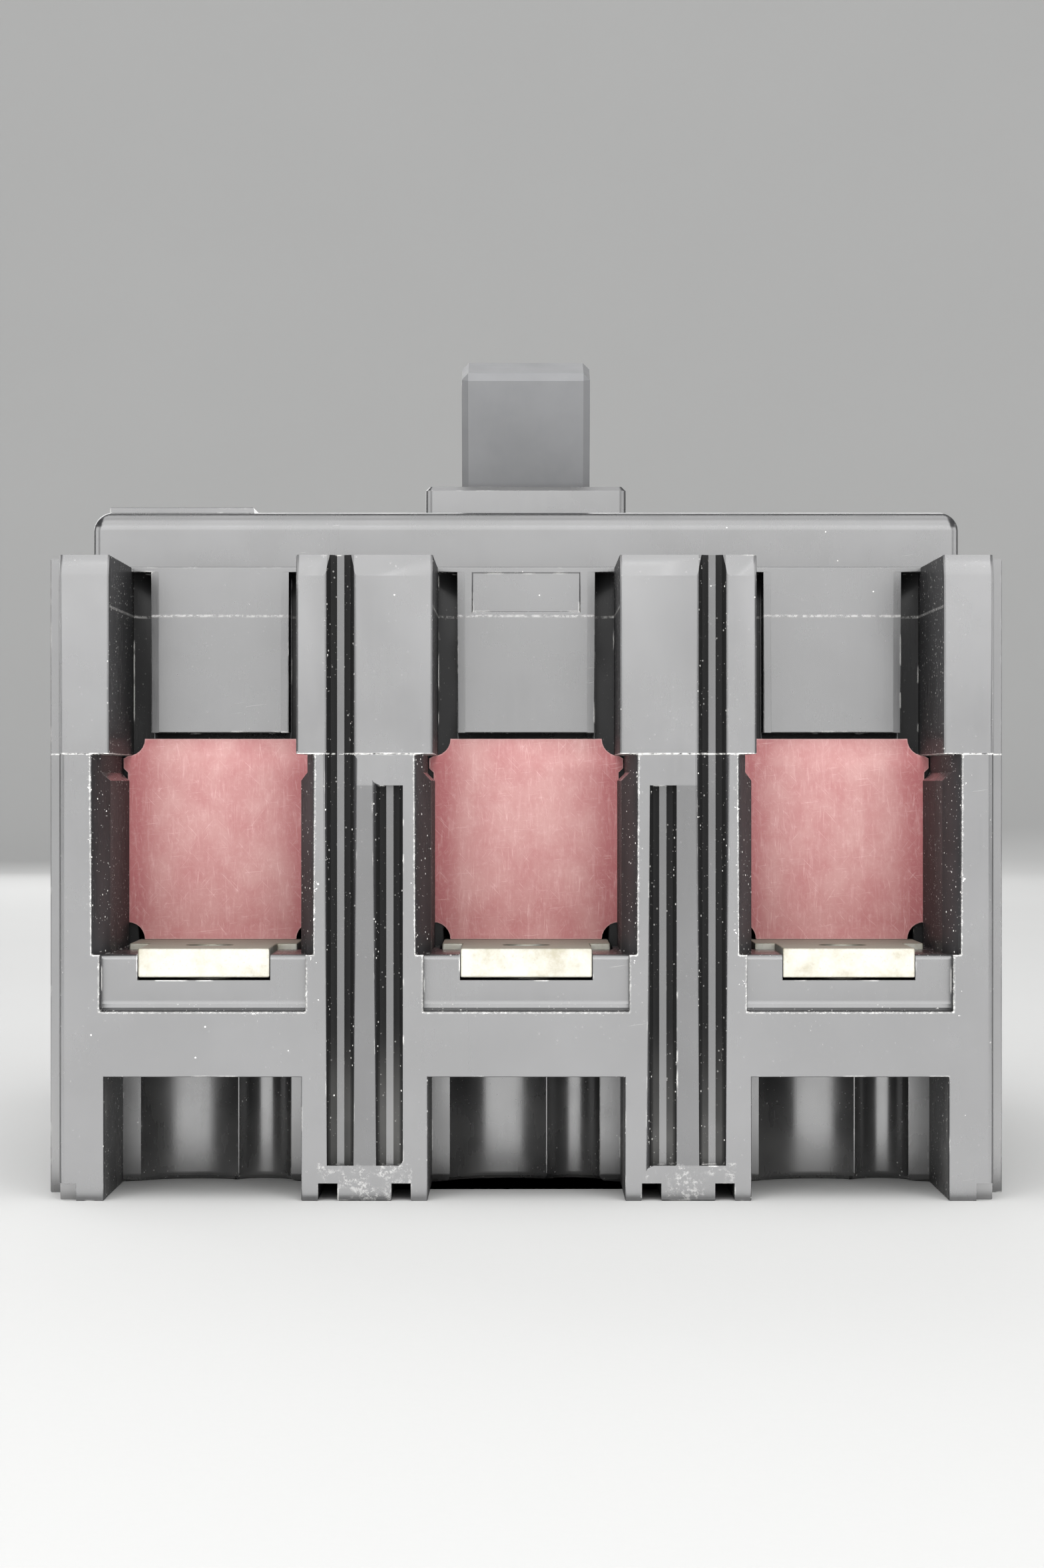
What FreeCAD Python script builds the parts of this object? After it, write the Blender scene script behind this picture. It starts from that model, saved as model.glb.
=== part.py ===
import FreeCAD, Part
import os
import re
from math import cos, pi, sin

import Sketcher

# Molded case circuit breaker, three poles, stored switched on with its contacts closed.
# Millimetres. X runs across the poles, Y from the line end (-Y) to the load end (+Y), Z up.
# The origin is the centre of the mounting face. Every size below is a cell of one sheet,
# and every sketch, length and placement reads that sheet.

SIZES = {
    # overall
    "pole_pitch": 34.925,
    "body_width": 104.775,
    "body_length": 152.4,
    "base_height": 48.2,
    "cover_top": 69.7,
    "raised_top": 76.9,
    "raised_width": 101.6,
    "raised_length": 77.8,
    "plinth_width": 24.4,
    "plinth_length": 42.4,
    "plinth_top": 81.2,
    "end_relief": 1.96,
    "end_relief_depth": 9.0,
    # terminal recess of the base
    "recess_mouth": 24.0,
    "recess_width": 20.8,
    "recess_lead": 4.5,
    "recess_floor": 26.5,
    "lip_floor": 20.4,
    "lip_depth": 1.8,
    "lip_width": 22.2,
    "notch_width": 14.4,
    "notch_floor": 23.7,
    "channel_width": 19.4,
    "channel_start": 14.7,
    "channel_floor": 24.0,
    # terminal straps
    "strap_thickness": 3.175,
    "tongue_width": 14.29,
    "strap_width": 18.8,
    "tongue_set_back": 1.7,
    "lug_hole_radius": 2.6,
    "lug_hole_inset": 10.2,
    "strap_screw_radius": 1.75,
    "strap_head_radius": 3.4,
    "strap_head_height": 2.6,
    "strap_head_top": 13.0,
    "line_screw_y": -40.0,
    "load_screw_y": 42.6,
    "inner_strap_width": 12.7,
    # windows under the terminal shelf
    "window_width": 21.3,
    "window_top": 13.35,
    "window_depth": 20.5,
    "hollow_wide_radius": 8.4,
    "hollow_small_radius": 3.1,
    "hollow_small_x": 5.2,
    # grooves of the end faces
    "groove_radius": 1.5,
    "groove_outer": 2.62,
    "groove_inner": 2.70,
    "groove_foot": 3.8,
    "groove_step": 3.4,
    # walls and chambers
    "phase_wall": 3.2,
    "side_wall": 3.2,
    "chamber_floor": 10.0,
    "chute_floor": 26.5,
    "inner_half": 48.5,
    "chute_end": -24.5,
    "load_shelf": 33.5,
    "cover_inner_half": 45.2,
    "cover_wall": 3.0,
    # fibre baffle
    "baffle_front": -50.9,
    "baffle_thickness": 0.8,
    "baffle_width": 21.2,
    "baffle_bottom": 27.2,
    "baffle_top": 50.1,
    "baffle_corner": 2.1,
    "ear_half": 11.1,
    "ear_low": 46.0,
    "ear_high": 48.1,
    "baffle_clearance": 0.1,
    "throat_width": 18.8,
    # cover recess
    "vent_width": 20.15,
    "vent_depth": 24.4,
    "boss_width": 15.7,
    "boss_bottom": 50.8,
    "side_channel_depth": 29.0,
    "bevel_height": 2.3,
    "bevel_depth": 0.9,
    # fixings
    "mount_hole_radius": 2.2,
    "mount_bore_length": 10.0,
    "mount_spacing_y": 123.8,
    "mount_head_radius": 4.4,
    "mount_head_floor": 60.0,
    "cover_screw_y": 48.0,
    "cover_screw_radius": 1.95,
    "cover_head_radius": 3.6,
    "cover_head_floor": 63.0,
    "boss_radius": 5.2,
    # crossbar and contact arms
    "crossbar_y": 2.0,
    "crossbar_z": 31.0,
    "journal_radius": 5.0,
    "hub_radius": 7.0,
    "hub_half": 8.0,
    "middle_hub_half": 6.5,
    "neck_radius": 3.0,
    "neck_half": 11.5,
    "running_gap": 0.06,
    "arm_width": 6.5,
    "arm_bottom": 30.4,
    "arm_thickness": 5.0,
    "arm_tip": -35.0,
    "arm_tail": 8.0,
    "contact_thickness": 1.6,
    "contact_length": 8.0,
    # handle and yoke
    "handle_z": 42.0,
    "handle_lean": 17.0,
    "handle_width": 15.7,
    "handle_reach": 56.6,
    "skirt_radius": 36.4,
    "skirt_thickness": 1.5,
    "skirt_width": 19.2,
    "skirt_angle": 44.0,
    "slot_length": 34.8,
    "slot_width": 16.8,
    "yoke_reach": 26.5,
    "yoke_inner": 27.0,
    "yoke_thickness": 1.4,
    # mechanism
    "frame_inner": 24.0,
    "frame_thickness": 1.2,
    "upper_pin_y": 5.3,
    "upper_pin_z": 51.6,
    "toggle_y": 6.0,
    "toggle_z": 42.0,
    "lower_pin_y": -6.3,
    "lower_pin_z": 30.4,
    "cradle_y": -15.0,
    "cradle_z": 50.0,
    "cradle_thickness": 4.8,
    "pin_radius": 1.5,
    "toggle_radius": 1.2,
    "toggle_play": 0.45,
    # trip unit
    "trip_y": 26.5,
    "trip_z": 46.0,
    "trip_radius": 3.0,
    "armature_y": 31.7,
    "armature_z": 48.5,
    "armature_pin": 1.0,
    "armature_thickness": 1.4,
    "magnet_front": 33.6,
    "magnet_height": 44.0,
    "bimetal_y": 36.8,
    "bimetal_thickness": 1.2,
    "bimetal_top": 57.0,
    "calibration_z": 54.5,
    "button_x": 26.0,
    "button_y": 16.5,
    "button_radius": 2.4,
    # arc chute
    "chute_pitch": 3.3,
    "chute_first": 31.6,
    "chute_plate": 1.4,
    "chute_count": 7,
    "chute_half": 11.0,
    "chute_side": 0.8,
    "chute_top": 56.0,
}

POLES = (-1, 0, 1)
NODES = []

doc = FreeCAD.newDocument("molded_case_breaker")
sheet = doc.addObject("Spreadsheet::Sheet", "Sizes")
for row, (alias, size) in enumerate(SIZES.items(), start=1):
    sheet.set(f"A{row}", alias.replace("_", " "))
    sheet.set(f"B{row}", str(size))
    sheet.setAlias(f"B{row}", alias)
doc.recompute()


def tied(text):
    """Return an expression in which every size is read from the sheet."""
    return re.sub(r"[a-z][a-z0-9_]*", lambda m: f"Sizes.{m.group(0)}" if m.group(0) in SIZES else m.group(0),
                  str(text))


def value(text):
    """Return the present value of an expression."""
    return float(sheet.evalExpression(tied(text)))


def rect(x0, x1, y0, y1):
    """Return the four corners of a rectangle, each an expression."""
    return [(x0, y0), (x1, y0), (x1, y1), (x0, y1)]


def span(centre, half, low, high):
    """Return a rectangle centred sideways on one expression."""
    return rect(f"{centre} - ({half})", f"{centre} + ({half})", low, high)


def ring(x, y, radius):
    """Return a circle as centre and radius."""
    return {"x": x, "y": y, "radius": radius}


def flats(x, y, radius, sides=8, around=False):
    """Return a regular polygon that stands in a circle, or that clears it all round."""
    share = 1 / cos(pi / sides) if around else 1
    turns = [(2 * step + 1) * pi / sides for step in range(sides)]
    return [(f"({x}) + ({radius}) * ({share * cos(turn):.5f})", f"({y}) + ({radius}) * ({share * sin(turn):.5f})")
            for turn in turns]


class Shaped:
    """A body shaped by pads and pockets whose sketches read the sheet."""

    def __init__(self, name, refine=True):
        self.name = name
        self.refine = refine
        self.body = doc.addObject("PartDesign::Body", name)
        self.body.Label = name
        self.body.AllowCompound = True
        self.origin = {f.Role: f for f in self.body.Origin.OriginFeatures}
        self.count = 0
        NODES.append(self.body)

    def sketch(self, plane, loops, offset):
        """Add a sketch on an origin plane, moved along that plane's own normal."""
        self.count += 1
        sketch = self.body.newObject("Sketcher::SketchObject", f"{self.name}_sketch_{self.count}")
        sketch.AttachmentSupport = [(self.origin[f"{plane}_Plane"], "")]
        sketch.MapMode = "FlatFace"
        sketch.setExpression("AttachmentOffset.Base.z", tied(offset))
        limits, texts = [], []
        for loop in loops:
            if isinstance(loop, dict):
                x, y, radius = (value(loop[key]) for key in ("x", "y", "radius"))
                circle = sketch.addGeometry(Part.Circle(FreeCAD.Vector(x, y, 0), FreeCAD.Vector(0, 0, 1), radius))
                limits += [Sketcher.Constraint("DistanceX", -1, 1, circle, 3, x),
                           Sketcher.Constraint("DistanceY", -1, 1, circle, 3, y),
                           Sketcher.Constraint("Radius", circle, radius)]
                texts += [loop["x"], loop["y"], loop["radius"]]
                continue
            points = [(value(x), value(y)) for x, y in loop]
            corners = [FreeCAD.Vector(x, y, 0) for x, y in points]
            lines = [Part.LineSegment(a, b) for a, b in zip(corners, corners[1:] + corners[:1])]
            ids = sketch.addGeometry(lines, False)
            limits += [Sketcher.Constraint("Coincident", a, 2, b, 1) for a, b in zip(ids, ids[1:] + ids[:1])]
            texts += [None] * len(ids)
            for line, (x, y), (x_text, y_text) in zip(ids, points, loop):
                limits += [Sketcher.Constraint("DistanceX", -1, 1, line, 1, x),
                           Sketcher.Constraint("DistanceY", -1, 1, line, 1, y)]
                texts += [x_text, y_text]
        sketch.addConstraint(limits)
        for index, text in enumerate(texts):
            if text is not None:
                sketch.setExpression(f"Constraints[{index}]", tied(text))
        return sketch

    def pad(self, plane, loops, low, high):
        """Add material between two levels along the plane's axis."""
        offset = {"XY": f"{low}", "YZ": f"{low}", "XZ": f"-({high})"}[plane]
        sketch = self.sketch(plane, loops, offset)
        feature = self.body.newObject("PartDesign::Pad", f"{self.name}_pad_{self.count}")
        feature.Profile = sketch
        feature.setExpression("Length", tied(f"({high}) - ({low})"))
        feature.Refine = self.refine
        doc.recompute()
        return feature

    def pocket(self, plane, loops, low, high):
        """Cut material between two levels and check that something was cut."""
        before = self.bulk()
        offset = {"XY": f"{high}", "YZ": f"{high}", "XZ": f"-({low})"}[plane]
        sketch = self.sketch(plane, loops, offset)
        feature = self.body.newObject("PartDesign::Pocket", f"{self.name}_pocket_{self.count}")
        feature.Profile = sketch
        feature.setExpression("Length", tied(f"({high}) - ({low})"))
        feature.Refine = self.refine
        doc.recompute()
        if self.bulk() == before:
            raise RuntimeError(f"{feature.Name} cut nothing")
        return feature

    def bulk(self):
        """Return the volume so far, which every cut changes."""
        return round(self.body.Tip.Shape.Volume, 3)

    def round(self, radius, wanted, kind="Fillet"):
        """Round or bevel the edges that a test picks."""
        tip = self.body.Tip
        names = [f"Edge{i}" for i, edge in enumerate(tip.Shape.Edges, start=1) if wanted(edge)]
        if not names:
            raise RuntimeError(f"{self.name}: no edge to round")
        self.count += 1
        feature = self.body.newObject(f"PartDesign::{kind}", f"{self.name}_{kind.lower()}_{self.count}")
        feature.Base = (tip, names)
        feature.setExpression("Radius" if kind == "Fillet" else "Size", tied(radius))
        self.body.Tip = feature
        doc.recompute()
        return feature

    def put(self, x="0", y="0", z="0"):
        """Place the body by expressions."""
        for axis, text in zip("xyz", (x, y, z)):
            if text != "0":
                self.body.setExpression(f"Placement.Base.{axis}", tied(text))
        return self

    def turn(self, angle):
        """Turn the body about X by an expression in degrees."""
        self.body.Placement = FreeCAD.Placement(self.body.Placement.Base,
                                                FreeCAD.Rotation(FreeCAD.Vector(1, 0, 0), value(angle)))
        self.body.setExpression("Placement.Rotation.Angle", tied(angle))
        return self


def near(first, second, tolerance=0.02):
    """Tell whether two lengths agree."""
    return abs(first - second) < tolerance


def level(edge, axis, at):
    """Tell whether a whole edge lies at one level of an axis."""
    box = edge.BoundBox
    low, high = getattr(box, f"{axis}Min"), getattr(box, f"{axis}Max")
    return near(low, at) and near(high, at)


def length_along(edge, axis):
    """Return how far an edge reaches along an axis."""
    return getattr(edge.BoundBox, f"{axis}Length")


def pole_x(pole):
    """Return the expression for a pole's middle."""
    return f"({pole}) * pole_pitch"


END = {-1: "-body_length / 2", 1: "body_length / 2"}


def band(end, near_depth, far_depth):
    """Return two levels of Y between two depths behind an end face, lower one first."""
    if end < 0:
        return f"{END[end]} + ({near_depth})", f"{END[end]} + ({far_depth})"
    return f"{END[end]} - ({far_depth})", f"{END[end]} - ({near_depth})"


def chamber(pole, outer):
    """Return the two side levels of a pole's chamber; outer is the half-width of the box inside."""
    inner = "(pole_pitch - phase_wall) / 2"
    if pole == 0:
        return f"-{inner}", inner
    near_side = "(pole_pitch + phase_wall) / 2"
    return (f"-({outer})", f"-{near_side}") if pole < 0 else (near_side, outer)


def end_reliefs(shape, low, high):
    """Narrow the last millimetres of both ends."""
    loops = []
    for end in (-1, 1):
        y0, y1 = band(end, 0, "end_relief_depth")
        for side in (-1, 1):
            x0, x1 = "body_width / 2 - end_relief", "body_width / 2"
            loops.append(rect(x0, x1, y0, y1) if side > 0 else rect(f"-({x1})", f"-({x0})", y0, y1))
    shape.pocket("XY", loops, low, high)


def post_grooves(shape, offset, low, high, sign):
    """Cut the half-round grooves of the posts between the poles."""
    loops = [flats(f"{side} * (pole_pitch / 2 + ({sign}) * {offset})", END[end], "groove_radius", 12)
             for side in (-1, 1) for end in (-1, 1)]
    shape.pocket("XY", loops, low, high)


def mouth(pole, end):
    """Return the plan of one terminal recess, tapering from its mouth to its throat."""
    inward = "+" if end < 0 else "-"
    stations = [("0", "recess_mouth / 2"), ("recess_lead", "recess_width / 2")]
    if end < 0:
        slot = "baffle_width / 2 + baffle_clearance"
        front = "body_length / 2 + baffle_front - baffle_clearance"
        back = "body_length / 2 + baffle_front + baffle_thickness + baffle_clearance"
        stations += [(front, "recess_width / 2"), (front, slot), (back, slot), (back, "throat_width / 2"),
                     ("body_length / 2 - inner_half", "throat_width / 2")]
    else:
        stations += [("body_length / 2 + baffle_front", "recess_width / 2")]
    x = pole_x(pole)
    outline = [(f"{x} - ({half})", f"{END[end]} {inward} ({depth})") for depth, half in stations]
    outline += [(f"{x} + ({half})", f"{END[end]} {inward} ({depth})") for depth, half in reversed(stations)]
    return outline


def both_ends(half, near_depth, far_depth):
    """Return rectangles at both ends of every pole, between two depths behind the end face."""
    return [span(pole_x(pole), half, *band(end, near_depth, far_depth)) for end in (-1, 1) for pole in POLES]


def four(x, y):
    """Return the four places that are mirror images of one."""
    return [(f"{sx} * ({x})", f"{sy} * ({y})") for sx in (-1, 1) for sy in (-1, 1)]


def make_base():
    """Build the moulded base with its recesses, windows, chambers and bearings."""
    # left unrefined, because joining its many coplanar faces takes longer than all its cuts
    base = Shaped("base", refine=False)
    half_x, half_y = "body_width / 2", "body_length / 2"
    base.pad("XY", [rect(f"-{half_x}", half_x, f"-{half_y}", half_y)], "0", "base_height")
    end_reliefs(base, "0", "base_height")
    corner_x, corner_y = value("body_width / 2 - end_relief"), value("body_length / 2")
    base.round("0.7", lambda e: length_along(e, "Z") > 40 and near(abs(e.BoundBox.XMax), corner_x)
               and near(abs(e.BoundBox.YMax), corner_y))
    # terminal recesses with their set-back lip, the notch of the tongue and the strap's channel
    base.pocket("XY", [mouth(pole, end) for end in (-1, 1) for pole in POLES], "recess_floor", "base_height")
    base.pocket("XY", both_ends("lip_width / 2", "0", "lip_depth"), "lip_floor", "recess_floor")
    lip_y = value("body_length / 2 - lip_depth")
    base.round("0.6", lambda e: level(e, "Z", value("recess_floor")) and length_along(e, "X") > 12
               and near(abs(e.BoundBox.YMin), lip_y))
    base.pocket("XY", both_ends("notch_width / 2", "lip_depth - 0.1", "channel_start"), "notch_floor",
                "recess_floor + 0.1")
    inner = "body_length / 2 - inner_half"
    # the channel runs on past the wall, so that no two walls meet along one bare edge
    base.pocket("XY", both_ends("channel_width / 2", "channel_start", f"{inner} + 0.4"), "channel_floor",
                "recess_floor")
    wall = band(1, "body_length / 2 + baffle_front - 0.05", inner)
    base.pocket("XY", [span(pole_x(pole), "channel_width / 2", *wall) for pole in POLES], "recess_floor",
                "base_height")
    # slots at the top of the walls take the ears of the fibre baffles
    loops = []
    for pole in POLES:
        x = pole_x(pole)
        wide, main_half = "ear_half + baffle_clearance", "recess_width / 2"
        loops.append([(f"{x} - ({main_half})", "ear_low - 0.7"), (f"{x} + ({main_half})", "ear_low - 0.7"),
                      (f"{x} + ({wide})", "ear_low + 0.2"), (f"{x} + ({wide})", "base_height"),
                      (f"{x} - ({wide})", "base_height"), (f"{x} - ({wide})", "ear_low + 0.2")])
    base.pocket("XZ", loops, END[-1], "baffle_front + baffle_thickness + baffle_clearance")
    # chambers of the poles
    rooms = [chamber(pole, "body_width / 2 - side_wall") for pole in POLES]
    base.pocket("XY", [rect(x0, x1, "-inner_half", "inner_half") for x0, x1 in rooms], "chute_floor", "base_height")
    for low, y0, y1 in (("chamber_floor", "chute_end", "load_shelf"), ("channel_floor", "load_shelf", "inner_half")):
        base.pocket("XY", [rect(x0, x1, y0, y1) for x0, x1 in rooms], low, "chute_floor")
    base.pocket("XY", [span(pole_x(p), "inner_strap_width / 2 + 0.15", "-inner_half", "chute_end") for p in POLES],
                "channel_floor", "chute_floor")
    # posts for the cover screws
    posts = four("pole_pitch / 2", "cover_screw_y")
    base.pad("XY", [flats(x, y, "boss_radius", 12) for x, y in posts], "channel_floor - 4", "base_height")
    base.pocket("XY", [flats(x, y, "cover_screw_radius + 0.05", around=True) for x, y in posts],
                "channel_floor - 2", "base_height")
    # bearings of the crossbar and of the trip bar, open upward
    bearings = (("crossbar_y", "crossbar_z", "journal_radius + running_gap"),
                ("trip_y", "trip_z", "trip_radius + running_gap"))
    reach = "pole_pitch / 2 + phase_wall"
    base.pocket("YZ", [ring(y, z, radius) for y, z, radius in bearings], f"-({reach})", reach)
    base.pocket("YZ", [span(y, radius, z, "base_height") for y, z, radius in bearings], f"-({reach})", reach)
    # windows, open downward, with two hollows in their back wall
    base.pocket("XY", both_ends("window_width / 2", "0", "window_depth"), "0", "window_top")
    wide, small = [], []
    for end in (-1, 1):
        back = f"{END[end]} {'+' if end < 0 else '-'} window_depth"
        outward, inward = ("-", "+") if end < 0 else ("+", "-")
        wide += [ring(f"{pole_x(p)} - 2.2", f"{back} {outward} 5.4", "hollow_wide_radius") for p in POLES]
        small += [flats(f"{pole_x(p)} + hollow_small_x", f"{back} {inward} 0.4", "hollow_small_radius", 20)
                  for p in POLES]
    base.pocket("XY", wide, "0", "window_top")
    base.pocket("XY", small, "0", "window_top")
    post_grooves(base, "groove_outer", "groove_foot", "base_height", 1)
    post_grooves(base, "groove_inner", "groove_foot", "base_height - groove_step", -1)
    # feet of the posts
    loops = []
    for end in (-1, 1):
        y0, y1 = band(end, 0, 1.6)
        for side in (-1, 1):
            middle = f"{side} * pole_pitch / 2"
            loops += [rect(f"{middle} + 2.9", f"{middle} + 5", y0, y1), rect(f"{middle} - 5", f"{middle} - 2.9", y0, y1)]
            x0, x1 = "body_width / 2 - end_relief - 1.9", "body_width / 2 - end_relief"
            loops.append(rect(x0, x1, y0, y1) if side > 0 else rect(f"-({x1})", f"-({x0})", y0, y1))
    base.pocket("XY", loops, "0", "1.9")
    # fixings
    mounts = four("pole_pitch / 2", "mount_spacing_y / 2")
    base.pocket("XY", [ring(x, y, "mount_hole_radius") for x, y in mounts], "0", "mount_bore_length")
    base.pocket("XY", [flats(x, y, "mount_hole_radius + 0.2", around=True) for x, y in mounts], "mount_bore_length",
                "base_height")
    screws = [(pole_x(p), y) for p in POLES for y in ("line_screw_y", "load_screw_y")]
    base.pocket("XY", [flats(x, y, "strap_screw_radius + 0.15", around=True) for x, y in screws], "0",
                "channel_floor")
    base.pocket("XY", [flats(x, y, "strap_head_radius + 0.4", 12, around=True) for x, y in screws], "0",
                "strap_head_top")
    lugs = [(pole_x(p), band(end, "lug_hole_inset", "0")[0 if end < 0 else 1]) for end in (-1, 1) for p in POLES]
    base.pocket("XY", [flats(x, y, "lug_hole_radius + 0.5", around=True) for x, y in lugs], "15", "channel_floor")
    # shallow hollows lighten the mounting face
    base.pocket("XY", [rect(f"{x0} + 2", f"{x1} - 2", "-28", "30") for x0, x1 in rooms], "0", "4")
    return base


def make_cover():
    """Build the moulded cover with its raised deck, plinth, vents and inner rooms."""
    cover = Shaped("cover")
    half_x, half_y = "body_width / 2", "body_length / 2"
    cover.pad("XY", [rect(f"-{half_x}", half_x, f"-{half_y}", half_y)], "base_height", "cover_top")
    end_reliefs(cover, "base_height", "cover_top")
    cover.pad("XY", [rect("-raised_width / 2", "raised_width / 2", "-raised_length / 2", "raised_length / 2")],
              "cover_top", "raised_top")
    cover.round("1.0", lambda e: length_along(e, "Z") > 6 and e.BoundBox.ZMin > value("cover_top") - 0.1)
    cover.round("2.2", lambda e: level(e, "Z", value("raised_top")) and length_along(e, "X") > 50)
    cover.pad("XY", [rect("-plinth_width / 2", "plinth_width / 2", "-plinth_length / 2", "plinth_length / 2")],
              "raised_top", "plinth_top")
    cover.round("1.0", lambda e: length_along(e, "Z") > 4 and e.BoundBox.ZMin > value("raised_top") - 0.1)
    cover.round("0.5", lambda e: level(e, "Z", value("plinth_top")), "Chamfer")
    cover.pad("XY", [rect("-49.1", "-32.1", "-raised_length / 2 + 2.6", "-8")], "raised_top", "raised_top + 0.65")
    # bevel of the post tops
    for end in (-1, 1):
        y_end = END[end]
        sign = "+" if end < 0 else "-"
        cover.pocket("YZ", [[(f"{y_end} {'-' if end < 0 else '+'} 1", "cover_top - bevel_height"),
                             (y_end, "cover_top - bevel_height"), (f"{y_end} {sign} bevel_depth", "cover_top"),
                             (f"{y_end} {sign} bevel_depth", "cover_top + 1"),
                             (f"{y_end} {'-' if end < 0 else '+'} 1", "cover_top + 1")]],
                     f"-{half_x}", half_x)
        y0, y1 = band(end, 0, "vent_depth")
        cover.pocket("XY", [span(pole_x(p), "vent_width / 2", y0, y1) for p in POLES], "base_height", "cover_top")
        y0, y1 = band(end, "vent_depth", "side_channel_depth")
        loops = []
        for pole in POLES:
            for side in (-1, 1):
                a, b = f"{pole_x(pole)} + {side} * boss_width / 2", f"{pole_x(pole)} + {side} * vent_width / 2"
                loops.append(rect(a, b, y0, y1) if side > 0 else rect(b, a, y0, y1))
        cover.pocket("XY", loops, "base_height", "cover_top - 3")
        # room for the top of the fibre baffle below each boss
        y0, y1 = band(end, "vent_depth", "side_channel_depth")
        cover.pocket("XY", [span(pole_x(p), "boss_width / 2", y0, y1) for p in POLES], "base_height", "boss_bottom")
        edges = value("vent_depth - body_length / 2") * (1 if end < 0 else -1)
        cover.round("0.9", lambda e: length_along(e, "Z") > 12 and near(e.BoundBox.YMin, edges)
                    and near(e.BoundBox.YMax, edges)
                    and any(near(abs(e.BoundBox.XMin - p * value("pole_pitch")), value("boss_width / 2"))
                            for p in POLES))
    y0, y1 = band(-1, "vent_depth", "vent_depth + 0.25")
    cover.pocket("XZ", [span("0", "6.07", "64.6", "69.0")], y0, y1)
    # rooms of the poles
    outer = "raised_width / 2 - side_wall"
    rooms = [chamber(pole, outer) for pole in POLES]
    cover.pocket("XY", [rect(x0, x1, "-cover_inner_half", "cover_inner_half") for x0, x1 in rooms],
                 "base_height", "cover_top - cover_wall")
    deck = "raised_length / 2 - cover_wall"
    cover.pocket("XY", [rect(x0, x1, f"-({deck})", deck) for x0, x1 in rooms], "cover_top - cover_wall",
                 "raised_top - cover_wall")
    posts = four("pole_pitch / 2", "cover_screw_y")
    cover.pad("XY", [flats(x, y, "boss_radius", 12) for x, y in posts], "base_height", "cover_top - 1")
    cover.pocket("XY", [flats(x, y, "cover_screw_radius + 0.2", around=True) for x, y in posts], "base_height",
                 "cover_top")
    cover.pocket("XY", [flats(x, y, "cover_head_radius + 0.3", 20, around=True) for x, y in posts],
                 "cover_head_floor", "cover_top")
    # handle slot, with the hollow that the handle's skirt swings in
    cover.pocket("YZ", [ring("0", "handle_z", "skirt_radius + 0.6")], "-skirt_width / 2 - 0.8",
                 "skirt_width / 2 + 0.8")
    cover.pocket("XY", [span("0", "slot_width / 2", "-slot_length / 2", "slot_length / 2")],
                 "raised_top - cover_wall", "plinth_top")
    cover.pocket("XY", [ring("button_x", "button_y", "button_radius + 0.08")], "raised_top - cover_wall",
                 "raised_top")
    # tongues of the cover close the load end and hold the bars down
    y0, y1 = "inner_half + 0.15", "-baffle_front - 0.15"
    cover.pad("XY", [span(pole_x(p), "channel_width / 2 - 0.15", y0, y1) for p in POLES],
              "channel_floor + strap_thickness + 0.15", "boss_bottom + 0.5")
    for side in (-1, 1):
        cover.pad("XY", [span(f"{side} * pole_pitch / 2", "phase_wall / 2", "crossbar_y - journal_radius + 0.1",
                              "crossbar_y + journal_radius - 0.1")],
                  "crossbar_z + journal_radius + 0.3", "base_height")
        x0, x1 = f"{side} * pole_pitch / 2 - phase_wall", f"{side} * pole_pitch / 2 + phase_wall"
        cover.pocket("YZ", [ring("trip_y", "trip_z", "trip_radius + running_gap")], x0, x1)
    mounts = four("pole_pitch / 2", "mount_spacing_y / 2")
    cover.pocket("XY", [flats(x, y, "mount_hole_radius + 0.2", around=True) for x, y in mounts], "base_height",
                 "cover_top")
    cover.pocket("XY", [flats(x, y, "mount_head_radius", 20, around=True) for x, y in mounts], "mount_head_floor",
                 "cover_top")
    post_grooves(cover, "groove_outer", "base_height", "cover_top", 1)
    return cover


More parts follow.
